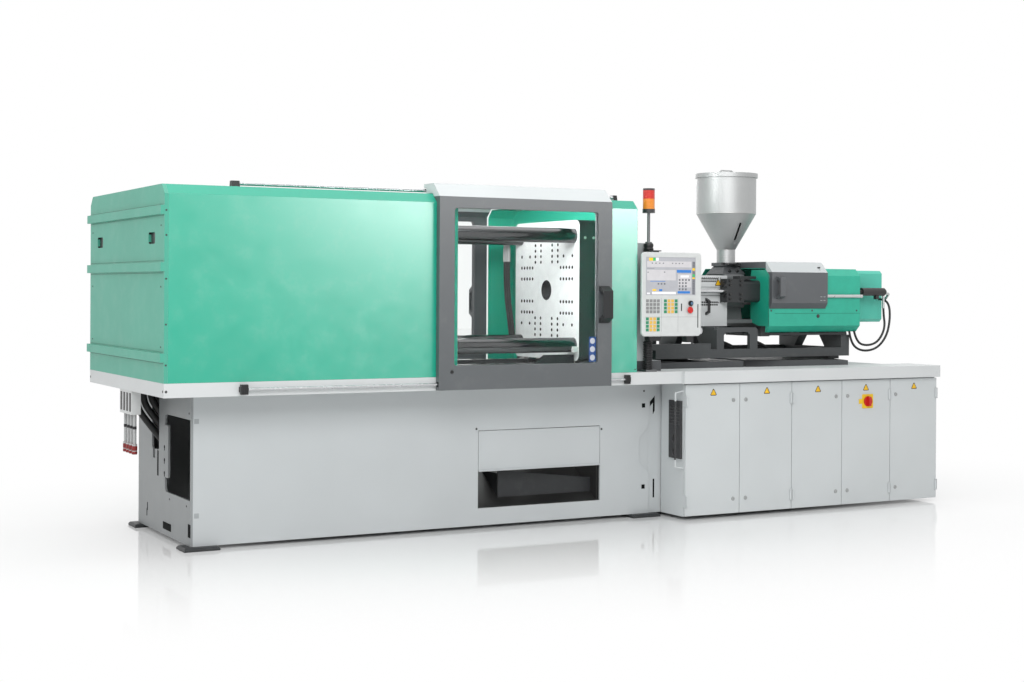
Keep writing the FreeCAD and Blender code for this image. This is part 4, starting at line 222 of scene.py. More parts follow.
# Rounded edges: where the surface turns, the normal is eased over the radius of a folded or ground edge
edges, given, made = socket_group("eased_edges", [("Radius", 0.0015)],
                                  [("Normal", "NodeSocketVector"), ("Edge", "NodeSocketFloat")])
eased = node(edges, "Bevel", {"Radius": given.outputs["Radius"]}, samples=4)
plain = node(edges, "NewGeometry")
turned = node(edges, "VectorMath", {0: eased.outputs["Normal"], 1: plain.outputs["Normal"]},
              operation="DOT_PRODUCT")
edges.links.new(eased.outputs["Normal"], made.inputs["Normal"])
edges.links.new(spread(edges, turned.outputs["Value"], 0.995, 0.80), made.inputs["Edge"])

# Powder coat: fine orange peel, a slow drift in tone, faint dust in patches
coat, given, made = socket_group("powder_coat", [("Peel", 1.0), ("Dust", 1.0)],
                                 [("Tone", "NodeSocketFloat"), ("Dust", "NodeSocketFloat"),
                                  ("Roughness", "NodeSocketFloat"), ("Height", "NodeSocketFloat")])
where = own_place(coat)
peel = noise(coat, where, 420.0, 2.0)
drift = noise(coat, where, 1.7, 2.0)
patch = noise(coat, where, 9.0, 5.0, 0.65)
coat.links.new(spread(coat, drift, 0.3, 0.7, 0.97, 1.03), made.inputs["Tone"])
dusty = number(coat, "MULTIPLY", spread(coat, patch, 0.52, 0.78), given.outputs["Dust"], True)
coat.links.new(dusty, made.inputs["Dust"])
coat.links.new(spread(coat, patch, 0.3, 0.7, -0.04, 0.05), made.inputs["Roughness"])
coat.links.new(number(coat, "MULTIPLY", peel, given.outputs["Peel"]), made.inputs["Height"])


def new_material(name):
    """An empty material, its node tree and its surface shader."""
    material = bpy.data.materials.new(name)
    material.use_nodes = True
    tree = material.node_tree
    tree.nodes.clear()
    shader = node(tree, "BsdfPrincipled")
    node(tree, "OutputMaterial", {"Surface": shader.outputs["BSDF"]})
    return material, tree, shader


def use_group(tree, group, **values):
    """A shared effect in this tree, with its numbers set."""
    return node(tree, "Group", values, node_tree=group).outputs


def tint(tree, colour, tone=None, other=None, share=None):
    """A colour, mixed with another one by a share, then times a tone. A colour is a triple or a socket."""
    if other is not None:
        ends = [(*end, 1) if isinstance(end, tuple) else end for end in (colour, other)]
        blend = node(tree, "Mix", {"A": ends[0], "B": ends[1], "Factor": share}, data_type="RGBA")
        colour = blend.outputs["Result"]
    if tone is not None:
        colour = node(tree, "VectorMath", {0: colour, "Scale": tone}, operation="SCALE").outputs[0]
    return colour


def bump(tree, height, distance, strength, normal):
    """Fine relief from a height, its distance in metres."""
    return node(tree, "Bump", {"Height": height, "Distance": distance, "Strength": strength,
                               "Normal": normal}).outputs["Normal"]


def finish(tree, shader, colour, gloss, normal=None):
    """Hands a finish its colour, its roughness and its normal."""
    for label, value in (("Base Color", colour), ("Roughness", gloss), ("Normal", normal)):
        if value is not None:
            tree.links.new(value, shader.inputs[label])


def painted(name, colour, rough=0.42, edge_radius=0.0016, second=None, third=None):
    """Powder coated steel. second and third are each a colour and the mask of where it is."""
    material, tree, shader = new_material(name)
    edge = use_group(tree, edges, Radius=edge_radius)
    coating = use_group(tree, coat, Peel=1.0, Dust=0.35)
    base = colour
    if second is not None:
        base = tint(tree, colour, None, second[0], second[1](tree))
    if third is not None:
        base = tint(tree, base, None, third[0], third[1](tree))
    worn = number(tree, "MULTIPLY", edge["Edge"], 0.35)
    pale = tint(tree, base, None, tuple(min(1.0, c * 0.6 + 0.35) for c in colour), worn)
    dusty = tint(tree, pale, coating["Tone"])
    final = tint(tree, dusty, None, (0.55, 0.55, 0.52), number(tree, "MULTIPLY", coating["Dust"], 0.12))
    finish(tree, shader, final, number(tree, "ADD", coating["Roughness"], rough),
           bump(tree, coating["Height"], 0.00004, 1.0, edge["Normal"]))
    return material


def dress(material, *names):
    """Gives CAD nodes their finish."""
    for name in names:
        mesh_slots = nodes[name].material_slots
        for one in mesh_slots:
            one.link = "OBJECT"
            one.material = material


pale_grey = (0.515, 0.542, 0.551)
end_plate_shade_grey = (0.27, 0.285, 0.29)
base_coat = painted("base_coat", pale_grey)
dress(base_coat, "chute_flap")
# The welded end plate is coloured a darker grey as painted shade, for the shade on the machine's end; the
# inside of the base is coloured near black as painted shade
end_plate = region({"x<": -2407.5})
hollow_base = region({"y<": 488.5, "y>": -488.5, "x>": -2406.5, "x<": 426.5, "z>": 22, "z<": 811.5})
unlit = (0.03, 0.031, 0.032)
dress(painted("frame_coat", pale_grey, second=(end_plate_shade_grey, end_plate), third=(unlit, hollow_base)),
      "machine_base")


def add_slab(work, outline, along, low, high):
    """A flat outline pushed along one axis, in millimetres. Its pairs are the other two axes in their order."""
    ends = []
    for level in (low, high):
        spots = [{"x": (level, a, b), "y": (a, level, b), "z": (a, b, level)}[along] for a, b in outline]
        ends.append([work.verts.new(place(*spot)) for spot in spots])
    work.faces.new(ends[0])
    work.faces.new(ends[1][::-1])
    for i in range(len(outline)):
        j = (i + 1) % len(outline)
        work.faces.new((ends[0][i], ends[1][i], ends[1][j], ends[0][j]))


def add_block(work, x0, x1, y0, y1, z0, z1):
    """A box in millimetres."""
    add_slab(work, [(x0, y0), (x1, y0), (x1, y1), (x0, y1)], "z", z0, z1)


def add_turned(work, profile, centre, along, steps=24):
    """A turned form in millimetres. The profile's pairs are a radius and how far along the axis it lies."""
    sign = -1 if along[0] == "-" else 1
    axis = "xyz".index(along[-1])
    rings = []
    for radius, out in profile:
        if radius < 0.001:
            spot = list(centre)
            spot[axis] += sign * out
            rings.append([work.verts.new(place(*spot))])
            continue
        ring = []
        for k in range(steps):
            angle = 2 * math.pi * (k + 0.5) / steps
            spot = list(centre)
            spot[axis] += sign * out
            spot[(axis + 1) % 3] += radius * math.cos(angle)
            spot[(axis + 2) % 3] += radius * math.sin(angle)
            ring.append(work.verts.new(place(*spot)))
        rings.append(ring)
    for one, two in zip(rings, rings[1:]):
        for k in range(steps):
            j = (k + 1) % steps
            corners = [one[k % len(one)], one[j % len(one)], two[j % len(two)], two[k % len(two)]]
            corners = [c for i, c in enumerate(corners) if c not in corners[:i]]
            if len(corners) > 2:
                work.faces.new(corners)
    for ring in (rings[0], rings[-1]):
        if len(ring) > 1:
            work.faces.new(ring)


def close_piece(work, name, body, material, edge=0.0):
    """Makes the piece from its faces, eases its edges by edge millimetres, and lets it ride on its body."""
    bmesh.ops.recalc_face_normals(work, faces=work.faces)
    mesh = bpy.data.meshes.new(name)
    work.to_mesh(mesh)
    work.free()
    mesh.materials.append(material)
    for face in mesh.polygons:
        face.use_smooth = True
    mesh.set_sharp_from_angle(angle=math.radians(35))
    piece = bpy.data.objects.new(name, mesh)
    scene.collection.objects.link(piece)
    if edge:
        ease = piece.modifiers.new("eased", "BEVEL")
        ease.width = edge / 1000
        ease.segments = 2
        ease.limit_method = "ANGLE"
        ease.angle_limit = math.radians(40)
    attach(piece, body)
    return piece


def block_piece(name, body, material, blocks, edge=0.0):
    """A piece made of plain boxes."""
    work = bmesh.new()
    for spot in blocks:
        add_block(work, *spot)
    close_piece(work, name, body, material, edge)


def moulded(name, colour, rough=0.4, grain=0.35, glow=0.0, shine=0.5):
    """Moulded plastic or rubber with a fine spark-eroded grain."""
    material, tree, shader = new_material(name)
    where = own_place(tree)
    edge = use_group(tree, edges, Radius=0.0008)
    fine = noise(tree, where, 900.0, 2.0)
    tone = spread(tree, noise(tree, where, 25.0, 4.0), 0.3, 0.7, 0.94, 1.05)
    finish(tree, shader, tint(tree, colour, tone), spread(tree, fine, 0.3, 0.7, rough - 0.05, rough + 0.06),
           bump(tree, fine, 0.00005, grain, edge["Normal"]))
    shader.inputs["Specular IOR Level"].default_value = shine
    if glow:
        shader.inputs["Emission Color"].default_value = (*colour, 1)
        shader.inputs["Emission Strength"].default_value = glow
    return material


black_plastic = moulded("black_plastic", (0.012, 0.012, 0.013), 0.38)
plug_grey = moulded("plug_grey", (0.34, 0.36, 0.37), 0.5)
shadow_gap = moulded("shadow_gap", (0.008, 0.009, 0.009), 0.8, shine=0.1)

# Square plugs in the front skin, over the frame's fixing holes
block_piece("frame_plugs", "machine", plug_grey,
            [(x - 13, x + 13, -501.9, -500, z - 13, z + 13) for x, z in ((-2390, 676), (-2388, 181))], 1.0)

# Openings that show as dark shapes: the cage nuts' square holes by the right end of the skin; in the end plate
# three keyholes, two slots along the foot, a stepped slot and an oblong one
plate_end = -2420
work = bmesh.new()
for z in (675, 182):
    add_block(work, 387, 411, -501.5, -500, z - 13, z + 13)
for z in (495, 423, 352):
    add_turned(work, [(0, 1.4), (9, 1.4), (9.5, 0)], (plate_end, -20, z + 6), "-x", 16)
    add_slab(work, [(-23.5, z - 14), (-16.5, z - 14), (-16.5, z), (-23.5, z)], "x",
             plate_end - 1.4, plate_end + 1)
add_block(work, plate_end - 1.2, plate_end + 1, -151, 2, 51, 91)
add_block(work, plate_end - 1.2, plate_end + 1, -501, -458, 66, 136)
add_slab(work, [(318, 80), (328, 80), (328, 118), (318, 128), (318, 158), (308, 158), (308, 116), (318, 108)],
         "x", plate_end - 1.2, plate_end + 1)
add_slab(work, [(96, 330), (118, 330), (118, 470), (96, 470)], "x", plate_end - 1.2, plate_end + 1)
close_piece(work, "frame_slots", "machine", shadow_gap, 0.5)

# Dark sheet behind the cut-outs at the right end of the skin, and the slits of the step beside them: painted
# shade, where the base behind them lies in shadow
work = bmesh.new()
add_slab(work, [(398, 215), (424, 215), (424, 452), (398, 452)], "y", -490.8, -490.2)
add_slab(work, [(452, 696), (487, 735), (487, 640), (474, 618), (474, 690), (452, 668)], "y", -490.9, -490.2)
add_block(work, 476, 487, -490.9, -490.2, 110, 225)
close_piece(work, "skin_cutout_shade", "machine", shadow_gap)


def add_screws(work, spots, along, radius, out=2.2):
    """Low domed screw heads with a socket."""
    for spot in spots:
        add_turned(work, [(0, out * 0.35), (radius * 0.42, out * 0.35), (radius * 0.46, out),
                          (radius * 0.75, out * 0.92), (radius, out * 0.3), (radius, -0.5)], spot, along, 18)


dark_screws = moulded("dark_screws", (0.05, 0.05, 0.052), 0.35)


def screw_piece(name, body, *groups, slot="black_steel", material=dark_screws):
    """Groups of screws: their spots, the way they face, the radius of the head, how far it stands out."""
    work = bmesh.new()
    for group in groups:
        add_screws(work, *group)
    close_piece(work, name, body, material)


screw_piece("frame_screws", "machine", ([(402, -501, 763), (-742, -501, 575), (100, -501, 543)], "-y", 6.5),
            ([(-2420, -470, 716), (-2420, -430, 225), (-2420, -120, 225)], "-x", 6))

# Levelling feet. Bevelled plates of blackened steel under the corners of both bases.
dark_coat = painted("dark_coat", (0.022, 0.024, 0.026), rough=0.5)
dress(dark_coat, "levelling_feet")

# Drip box. Blackened sheet, standing in the chute bay under the chute.
work = bmesh.new()
add_slab(work, [(-553, 150), (154, 150), (154, 236), (-553, 320)], "y", -402, -398)
add_block(work, -553, -549, -402, 300, 150, 300)
close_piece(work, "drip_box", "machine", dark_coat, 1.0)

# Tray under the clamp unit. White powder coated sheet, folded down on all four sides; it catches what drips
# from the clamp and carries the covers. Small black screws hold its corners.
white_coat = painted("white_coat", (0.64, 0.66, 0.665), rough=0.38)
dress(white_coat, "clamp_tray", "cabinet_top")
screw_piece("tray_screws", "machine", ([(-2628, -757, 852), (-2628, 757, 852)], "-y", 7),
            ([(-2640, -742, 852), (-2640, 742, 852)], "-x", 7))

# Guide rods for the two sliding guards. Ground steel rods in ribbed black end blocks.


def stretched(tree, scales):
    """Coordinates fixed to the piece, scaled in x, y and z so that noise on them runs out in lines."""
    return node(tree, "Mapping", {"Scale": scales, "Vector": own_place(tree)}).outputs[0]


def turned_steel(name, colour, rough=0.22, along="x", depth=0.35):
    """Ground or turned steel: fine marks that run round the piece, uneven shine, faint film of oil."""
    material, tree, shader = new_material(name)
    edge = use_group(tree, edges, Radius=0.0008)
    scales = {"x": (900, 30, 30), "y": (30, 900, 30), "z": (30, 30, 900)}[along]
    marks = noise(tree, stretched(tree, scales), 1.0)
    film = noise(tree, own_place(tree), 14.0, 5.0, 0.6)
    shader.inputs["Metallic"].default_value = 1.0
    tone = number(tree, "MULTIPLY", spread(tree, marks, 0.3, 0.7, 0.93, 1.06),
                  spread(tree, film, 0.3, 0.7, 0.94, 1.04))
    finish(tree, shader, tint(tree, colour, tone), spread(tree, film, 0.25, 0.75, rough - 0.05, rough + 0.1),
           bump(tree, marks, 0.00002, depth, edge["Normal"]))
    return material


def two_metal(name, first, second, mask, rough_first, rough_second, metal_first=1.0):
    """One piece with two finishes, split by a mask: bare metal first, a coating second."""
    material, tree, shader = new_material(name)
    where = own_place(tree)
    edge = use_group(tree, edges, Radius=0.001)
    share = mask(tree)
    film = noise(tree, where, 18.0, 5.0, 0.6)
    fine = noise(tree, where, 500.0, 2.0)
    tone = spread(tree, film, 0.3, 0.7, 0.94, 1.05)
    gloss = spread(tree, film, 0.25, 0.75, rough_first - 0.05, rough_first + 0.08)
    tree.links.new(spread(tree, share, 0, 1, metal_first, 0.0), shader.inputs["Metallic"])
    mixed = node(tree, "Mix", {"Factor": share, "A": gloss, "B": rough_second})
    finish(tree, shader, tint(tree, first, tone, second, share), mixed.outputs["Result"],
           bump(tree, fine, 0.00003, 0.4, edge["Normal"]))
    return material


end_blocks = region({"x<": -2205}, {"x>": 91})
dress(two_metal("guard_rods", (0.55, 0.56, 0.57), (0.016, 0.016, 0.017), end_blocks, 0.25, 0.42), "guard_rails")

# Covers of the clamp unit. Folded sheet steel in a mint green powder coat, chamfered along the top; the end
# panel has three stiffening straps and two recessed grips, and is held by small screws on its edges.
green_coat = painted("green_coat", (0.013, 0.372, 0.248), rough=0.34, edge_radius=0.003)
dress(green_coat, "clamp_cover", "nozzle_side_cover")

# The black plastic cups of the grips
grips = region({"z>": 1600.5, "z<": 1659.5, "x>": -2639.5, "y>": -589.5, "y<": -470.5},
               {"z>": 1600.5, "z<": 1659.5, "x>": -2639.5, "y>": 470.5, "y<": 589.5})
dress(painted("end_green", (0.065, 0.385, 0.275), rough=0.4, edge_radius=0.0025,
              second=((0.012, 0.014, 0.014), grips)), "clamp_end_panel")

cover_side, panel_end = 757, -2640
fold_heights = (1795, 1738, 1511, 1448, 1050, 992)
flank_heights = (985, 1190, 1420, 1640, 1765)
screw_piece("end_panel_screws", "machine", ([(-2630, -cover_side, z) for z in flank_heights], "-y", 5),
            ([(-2630, cover_side, z) for z in flank_heights], "y", 5),
            ([(panel_end, y, z) for y in (-700, 700) for z in (1075, 1380, 1690)], "-x", 5))

# Fold lines across the end panel, along the edges of its three straps
block_piece("end_panel_folds", "machine", painted("fold_green", (0.03, 0.2, 0.14), rough=0.5),
            [(panel_end - 0.6, panel_end + 1, -740, 740, z, z + 2.2) for z in fold_heights])

# Plain cover screws along the nozzle side cover and its fixing tabs
screw_piece("nozzle_cover_screws", "machine", ([(-1, -cover_side, 1870), (170, -cover_side, 910)], "-y", 4),
            ([(-13, -620, 1760), (-13, -560, 1760), (-13, -620, 1730)], "-x", 5))

# Sliding guards. Folded and welded sheet steel doors, hollow, hooked over the top rods and running on the
# lower ones; the frame is mid grey, the sloping roof strip is light grey, the pane is clear polycarbonate.
light_grey = (0.60, 0.635, 0.642)
guard_coat = painted("guard_coat", (0.095, 0.104, 0.110), rough=0.36, edge_radius=0.002,
                     second=(light_grey, region({"z>": 1884})))
dress(guard_coat, "front_guard", "rear_guard")


def pane(name):
    """Clear sheet: only its own shine and a slight tone, and faint wiping marks."""
    material, tree, shader = new_material(name)
    wiped = noise(tree, own_place(tree), 6.0, 4.0)
    shader.inputs["Base Color"].default_value = (0.97, 0.985, 0.98, 1)
    shader.inputs["IOR"].default_value = 1.2
    shader.inputs["Transmission Weight"].default_value = 1.0
    tree.links.new(spread(tree, wiped, 0.4, 0.7, 0.015, 0.045), shader.inputs["Roughness"])
    return material


dress(pane("guard_pane"), "front_guard_window", "rear_guard_window")
handle_black = moulded("handle_black", (0.014, 0.015, 0.016), 0.4)
dress(handle_black, "front_guard_handle")

# Plain blue strip with three white discs, stuck on the inside of the front pane
block_piece("sign_strip", "front_guard", moulded("sign_blue", (0.015, 0.075, 0.30), 0.35),
            [(-161, -114, -777.9, -777.4, 962, 1106)])
work = bmesh.new()
for z in (986, 1034, 1082):
    add_turned(work, [(0, -6.3), (17, -6.3), (17, -6.9), (0, -6.9)], (-137.5, -785, z), "-y", 24)
close_piece(work, "sign_discs", "front_guard", moulded("sign_white", (0.70, 0.72, 0.76), 0.35))

# Ribbed caps of black rubber on the ends of the lower rod
work = bmesh.new()
for x0, x1 in ((-2246, -2206), (86, 118)):
    rib = (x1 - x0) / 4
    for k in range(4):
        add_block(work, x0 + k * rib, x0 + k * rib + rib * 0.72, -795, -768, 829, 881)
    add_block(work, x0 + 1, x1 - 1, -792, -771, 833, 877)
close_piece(work, "rod_caps", "machine", black_plastic, 1.5)

# Lock in the lower left corner of the front guard
work = bmesh.new()
add_turned(work, [(0, 3.2), (4, 3.2), (4.4, 2.4), (9.5, 2.6), (10.5, 0), (10.5, -1)],
           (-1049, -800, 922), "-y", 24)
close_piece(work, "guard_lock", "front_guard", black_plastic)

# Platens of the clamp unit. Heavy iron castings, the mould faces ground bright, all other sides painted dark
# grey. The faces carry a grid of tapped holes for the mould's clamps.
ground = (0.88, 0.90, 0.90)
iron_paint = (0.075, 0.080, 0.084)
off_fixed_face = region({"x>": 0.4})
off_moving_face = region({"x<": -850.4})
dress(two_metal("fixed_platen_iron", ground, (0.040, 0.042, 0.044), off_fixed_face, 0.5, 0.4, 0.1),
      "fixed_platen")
dress(two_metal("moving_platen_iron", ground, iron_paint, off_moving_face, 0.5, 0.5, 0.1), "moving_platen")
dress(painted("iron_coat", iron_paint, rough=0.5), "cylinder_platen", "swivel_base")

axis_height = 1372
fixed_face, moving_face = 0, -850
work = bmesh.new()
moving = bmesh.new()
rows = {280: (70, 140, 210), 245: (70, 140), 210: (70, 140, 210, 280, 315), 175: (70, 140),
        140: (140, 175, 210, 245, 280, 315), 70: (175, 210, 245, 280, 315)}
cut_holes = {(140, 140), (210, 280), (280, 210)}
for up, across in rows.items():
    for y in across:
        if (y, up) in cut_holes or (up, y) in cut_holes:
            continue
        for side in (-1, 1):
            for z in (axis_height - up, axis_height + up):
                add_turned(work, [(0, 0.2), (10.0, 0.2), (10.6, -0.2)], (fixed_face, side * y, z), "-x", 12)
                if (y, up) != (210, 210):
                    add_turned(moving, [(0, 0.2), (8.0, 0.2), (8.6, -0.2)], (moving_face, side * y, z), "x", 12)
close_piece(work, "fixed_platen_holes", "machine", shadow_gap)
close_piece(moving, "moving_platen_holes", "moving_platen", shadow_gap)

# Fittings on the fixed platen: its black seat blocks at the foot, and the white end switch
block_piece("platen_seats", "machine", dark_coat,
            [(8, 126, -392, -300, 893.2, 946.8), (8, 126, 300, 392, 893.2, 946.8)], 2.0)
white_plastic = moulded("white_plastic", (0.72, 0.73, 0.72), 0.4)
block_piece("end_switch", "machine", white_plastic, [(-34, -1, -392, -366, 1000, 1034)], 1.5)
rubber = moulded("black_rubber", (0.016, 0.016, 0.017), 0.5)


def round_hose(name, body, points, radius, material):
    """A smooth round hose along a route given in millimetres."""
    curve = bpy.data.curves.new(name, "CURVE")
    curve.dimensions = "3D"
    curve.bevel_depth = radius / 1000
    curve.bevel_resolution = 4
    curve.resolution_u = 10
    curve.use_fill_caps = True
    line = curve.splines.new("NURBS")
    line.points.add(len(points) - 1)
    for spot, at in zip(line.points, points):
        spot.co = (*place(*at), 1)
    line.order_u = 3
    line.use_endpoint_u = True
    curve.materials.append(material)
    piece = bpy.data.objects.new(name, curve)
    scene.collection.objects.link(piece)
    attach(piece, body)
    return piece


# Black drip sheet below the mould, the cooling hoses that hang from pale couplings beside the fixed platen, and
# two bright screws high on the platen's side
work = bmesh.new()
add_slab(work, [(-285, 895), (70, 895), (70, 985), (-210, 985), (-285, 930)], "y", -340, -334)
close_piece(work, "drip_sheet", "machine", dark_coat, 1.0)
work = bmesh.new()
for i, y in enumerate((445, 472, 499)):
    round_hose("cooling_hose_%d" % (i + 1), "machine",
               [(-26, y, 1560), (-26, y, 1440), (-24, y - 18, 1280), (-20, y - 60, 1120), (-16, y - 70, 1010)],
               8, rubber)
    add_turned(work, [(0, 0), (10, 0), (11, 20), (11, 80), (8, 84), (8, 120), (0, 120)], (-26, y, 1555), "z", 16)
close_piece(work, "cooling_couplings", "machine",
            moulded("coupling_pale", (0.42, 0.43, 0.43), 0.35), 0.6)
screw_piece("platen_screws", "machine", ([(40, -397.5, 1690), (100, -397.5, 1690)], "-y", 9, 4),
            slot="ground_steel", material=turned_steel("screw_steel", (0.62, 0.62, 0.60), 0.3, "y"))

# Tie bars and slideways. The bars are hardened steel, dark and polished, with eight-sided nuts at their ends;
# the slideways are ground on top, where the moving platen's shoes run.
dress(turned_steel("tie_bar_steel", (0.115, 0.115, 0.118), 0.12, "x", 0.2), "tie_bars")
dress(two_metal("slideway_steel", (0.50, 0.50, 0.49), (0.03, 0.032, 0.034), region({"z<": 934.6}), 0.25, 0.5),
      "platen_slideways")

# Clamp piston and ejector. The piston rod is hard chromed; the ejector plate is ground steel on turned rods.
dress(turned_steel("chrome_rod", (0.60, 0.61, 0.62), 0.08, "x", 0.15), "clamp_piston")
dress(turned_steel("ejector_steel", (0.50, 0.50, 0.49), 0.28, "x"), "ejector")

# Chute under the mould. Folded sheet with a long grain, coloured dark as painted shade, for the dark inside
# of the base it lies in.


def bright_sheet(name, colour, rough=0.3, grain=(1, 1, 60)):
    """Rolled stainless sheet: long faint grain, smears where it was wiped."""
    material, tree, shader = new_material(name)
    edge = use_group(tree, edges, Radius=0.0012)
    lines = noise(tree, stretched(tree, tuple(18.0 * g for g in grain)), 1.0, 4.0, 0.6)
    smear = noise(tree, own_place(tree), 4.5, 4.0, 0.6)
    shader.inputs["Metallic"].default_value = 1.0
    tone = number(tree, "MULTIPLY", spread(tree, lines, 0.3, 0.7, 0.95, 1.04),
                  spread(tree, smear, 0.3, 0.7, 0.93, 1.04))
    gloss = number(tree, "ADD", spread(tree, smear, 0.3, 0.7, rough - 0.05, rough + 0.07),
                   spread(tree, lines, 0.3, 0.7, -0.03, 0.03))
    finish(tree, shader, tint(tree, colour, tone), gloss, bump(tree, lines, 0.00002, 0.5, edge["Normal"]))
    return material


# Painted shade: the chute's sheet is kept dark for the shade inside the base
dress(bright_sheet("chute_sheet", (0.16, 0.16, 0.158), 0.4, (1, 30, 1)), "parts_chute")

# Flow control unit on the left end, for the mould's cooling water. Pale housing, clear tubes, red fittings.
meter_tubes = region({"z<": 690})
dress(two_metal("meter_plastic", (0.66, 0.67, 0.67), (0.45, 0.46, 0.46), meter_tubes, 0.4, 0.15, 0.0),
      "flow_meters")
work = bmesh.new()
bands = bmesh.new()
meter_x = -2605
for y in (-90, -30, 30, 90):
    add_turned(work, [(0, -1), (12, -1), (15, 2), (15, 14), (13, 18), (15, 22), (15, 40), (12, 56), (0, 56)],
               (meter_x, y, 475), "z", 20)
    add_turned(bands, [(0, 0), (11, 0), (11, 16), (0, 16)], (meter_x, y, 610), "z", 16)
    add_block(bands, -2631.5, -2630, y - 16, y + 16, 706, 806)
close_piece(work, "meter_ends", "machine", moulded("meter_red", (0.22, 0.012, 0.010), 0.35), 0.4)
close_piece(bands, "meter_bands", "machine", black_plastic, 0.4)

# Thick hoses of the clamp unit. Rubber with a woven layer inside, pushed over fittings under the tray; they
# hang free and run in through the end plate.
for i in range(3):
    x = -2525 + i * 42
    z = 520 + i * 70
    drop = (820 - z) / 3
    route = [(x, 190, 820), (x, 190, 820 - drop), ((x - 2380) / 2 - 8, 172, z + drop), (-2380, 157, z)]
    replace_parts(round_hose("clamp_hose_%d" % (i + 1), "machine", route, 19, rubber), "clamp_hoses")

# Injection base and the swivel plate on it. Welded steel box in the machine's pale grey, with a dark cast plate
# above.
dress(base_coat, "injection_base")
bed_coat = painted("bed_coat", (0.066, 0.071, 0.074), rough=0.45, edge_radius=0.002)
dress(bed_coat, "injection_bed")

# Dark strip along the foot of the injection cover, and the black oil hoses behind the arch
block_piece("cover_foot_strip", "injection_carriage", dark_coat,
            [(1470, 2112, -352, -340, 1086, 1101)], 1.0)
for i, (low_end, high_end) in enumerate((((1310, -150, 1002), (1150, -190, 1048)),
                                         ((1350, -120, 1002), (1180, -150, 1052)),
                                         ((1560, -200, 1002), (1400, -230, 1052)))):
    middle = [(a + b) / 2 for a, b in zip(low_end, high_end)]
    middle[2] += 12
    round_hose("bed_hose_%d" % (i + 1), "injection_bed", [low_end, tuple(middle), high_end], 12, rubber)

# Guide columns, barrel, heater bands and screw. Ground and chromed columns; the barrel is dark from the heat;
# the bands are thin bright sheet with clamping screws; the screw is polished.
dress(turned_steel("column_chrome", (0.60, 0.61, 0.62), 0.1, "x", 0.15), "guide_columns", "screw")
dress(turned_steel("barrel_steel", (0.30, 0.28, 0.26), 0.35, "x", 0.5), "barrel")
dress(bright_sheet("band_sheet", (0.50, 0.48, 0.44), 0.32, (1, 30, 30)), "heater_bands")

# Carriage head, nozzle approach cylinders and screw drive. Painted castings, dark; the cylinders' rods are
# chromed and their black heads stand out beside the barrel, each with its ring of bolts.
head_coat = painted("head_coat", (0.150, 0.155, 0.160), rough=0.42, edge_radius=0.004)
dress(head_coat, "injection_carriage", "screw_drive")
not_rod = region({"x>": 1179.5}, {"z>": 1399.5}, {"z<": 1370.5})  # the tubes and heads
dress(two_metal("approach_steel", (0.045, 0.047, 0.050), (0.026, 0.028, 0.030), not_rod, 0.3, 0.4, 0.2),
      "approach_cylinders")
bolt_steel = turned_steel("bolt_steel", (0.10, 0.10, 0.10), 0.4, "x")
work = bmesh.new()
for y in (-250, 250):
    for k in range(6):
        angle = math.pi * (k + 0.5) / 3
        at = (1180, y + 24 * math.cos(angle), 1385 + 44 * math.sin(angle))
        add_turned(work, [(0, 4), (4.6, 4), (4.6, 9), (8.5, 9), (8.5, 0)], at, "-x", 6)
for z in (1322, 1352, 1412, 1440):
    for x in (1290, 1205):
        add_turned(work, [(0, 4), (5, 4), (5, 10), (9, 10), (9, 0)], (x, -280, z), "-y", 6)
close_piece(work, "head_bolts", "injection_carriage", bolt_steel, 0.4)

# Barrel guard. Perforated sheet hood in white powder coat over the hot barrel, slid along by a bar handle. Two
# long dark lines along each side are painted shadow of the approach cylinders in front of it, and a plain
# yellow triangle with a dark edge is stuck near its end.
shield_bar = region({"y<": -201}, {"y>": 201})  # the black bar handle
dress(painted("shield_coat", (0.66, 0.68, 0.685), rough=0.38, second=((0.012, 0.012, 0.013), shield_bar)),
      "barrel_guard")

shield_side = 200
shield_sides = (-shield_side, shield_side)

# Perforations towards the hopper end: two double rows of square holes on each side, shown as dark squares
block_piece("shield_holes", "barrel_guard", shadow_gap,
            [(1010 + 16 * i, 1021 + 16 * i, near - 0.4, near + 0.4, z, z + 11)
             for near in shield_sides for i in range(10) for z in (1294, 1278, 1446, 1430)])
sign_yellow = moulded("sign_yellow", (0.85, 0.50, 0.02), 0.35)


def triangle(work, x, y, z, size, out):
    """A flat triangle standing on its base, its corners rounded off."""
    ring = []
    for k in range(3):
        middle = math.pi / 2 + 2 * math.pi * k / 3
        for step in (-0.16, 0.0, 0.16):
            reach = size * (0.56 if step else 0.577)
            ring.append((x + reach * math.cos(middle + step), z + reach * math.sin(middle + step)))
    add_slab(work, ring, "y", y - out, y)


def warning_field(name, body, x, y, z, size):
    """A plain yellow triangle on a dark one, with no symbol."""
    work = bmesh.new()
    triangle(work, x, y, z, size, 0.25)
    close_piece(work, name + "_edge", body, black_plastic)
    work = bmesh.new()
    triangle(work, x, y - 0.25, z, size * 0.76, 0.2)
    close_piece(work, name, body, sign_yellow)


warning_field("shield_triangle", "barrel_guard", 1168, -shield_side, 1422, 46)
# Painted shadow: two dark lines on each side, where the approach cylinders in front shade the guard
block_piece("shield_rod_shadow", "barrel_guard", moulded("rod_shadow_grey", (0.10, 0.105, 0.11), 0.5),
            [(762, 1238, near - 0.5, near + 0.5, z, z + 3) for near in shield_sides for z in (1396, 1341)])
corners = ((1218, 1440), (1222, 1302), (790, 1440), (790, 1302))
screw_piece("shield_screws", "barrel_guard", ([(x, -shield_side, z) for x, z in corners], "-y", 5),
            ([(x, shield_side, z) for x, z in corners], "y", 5))

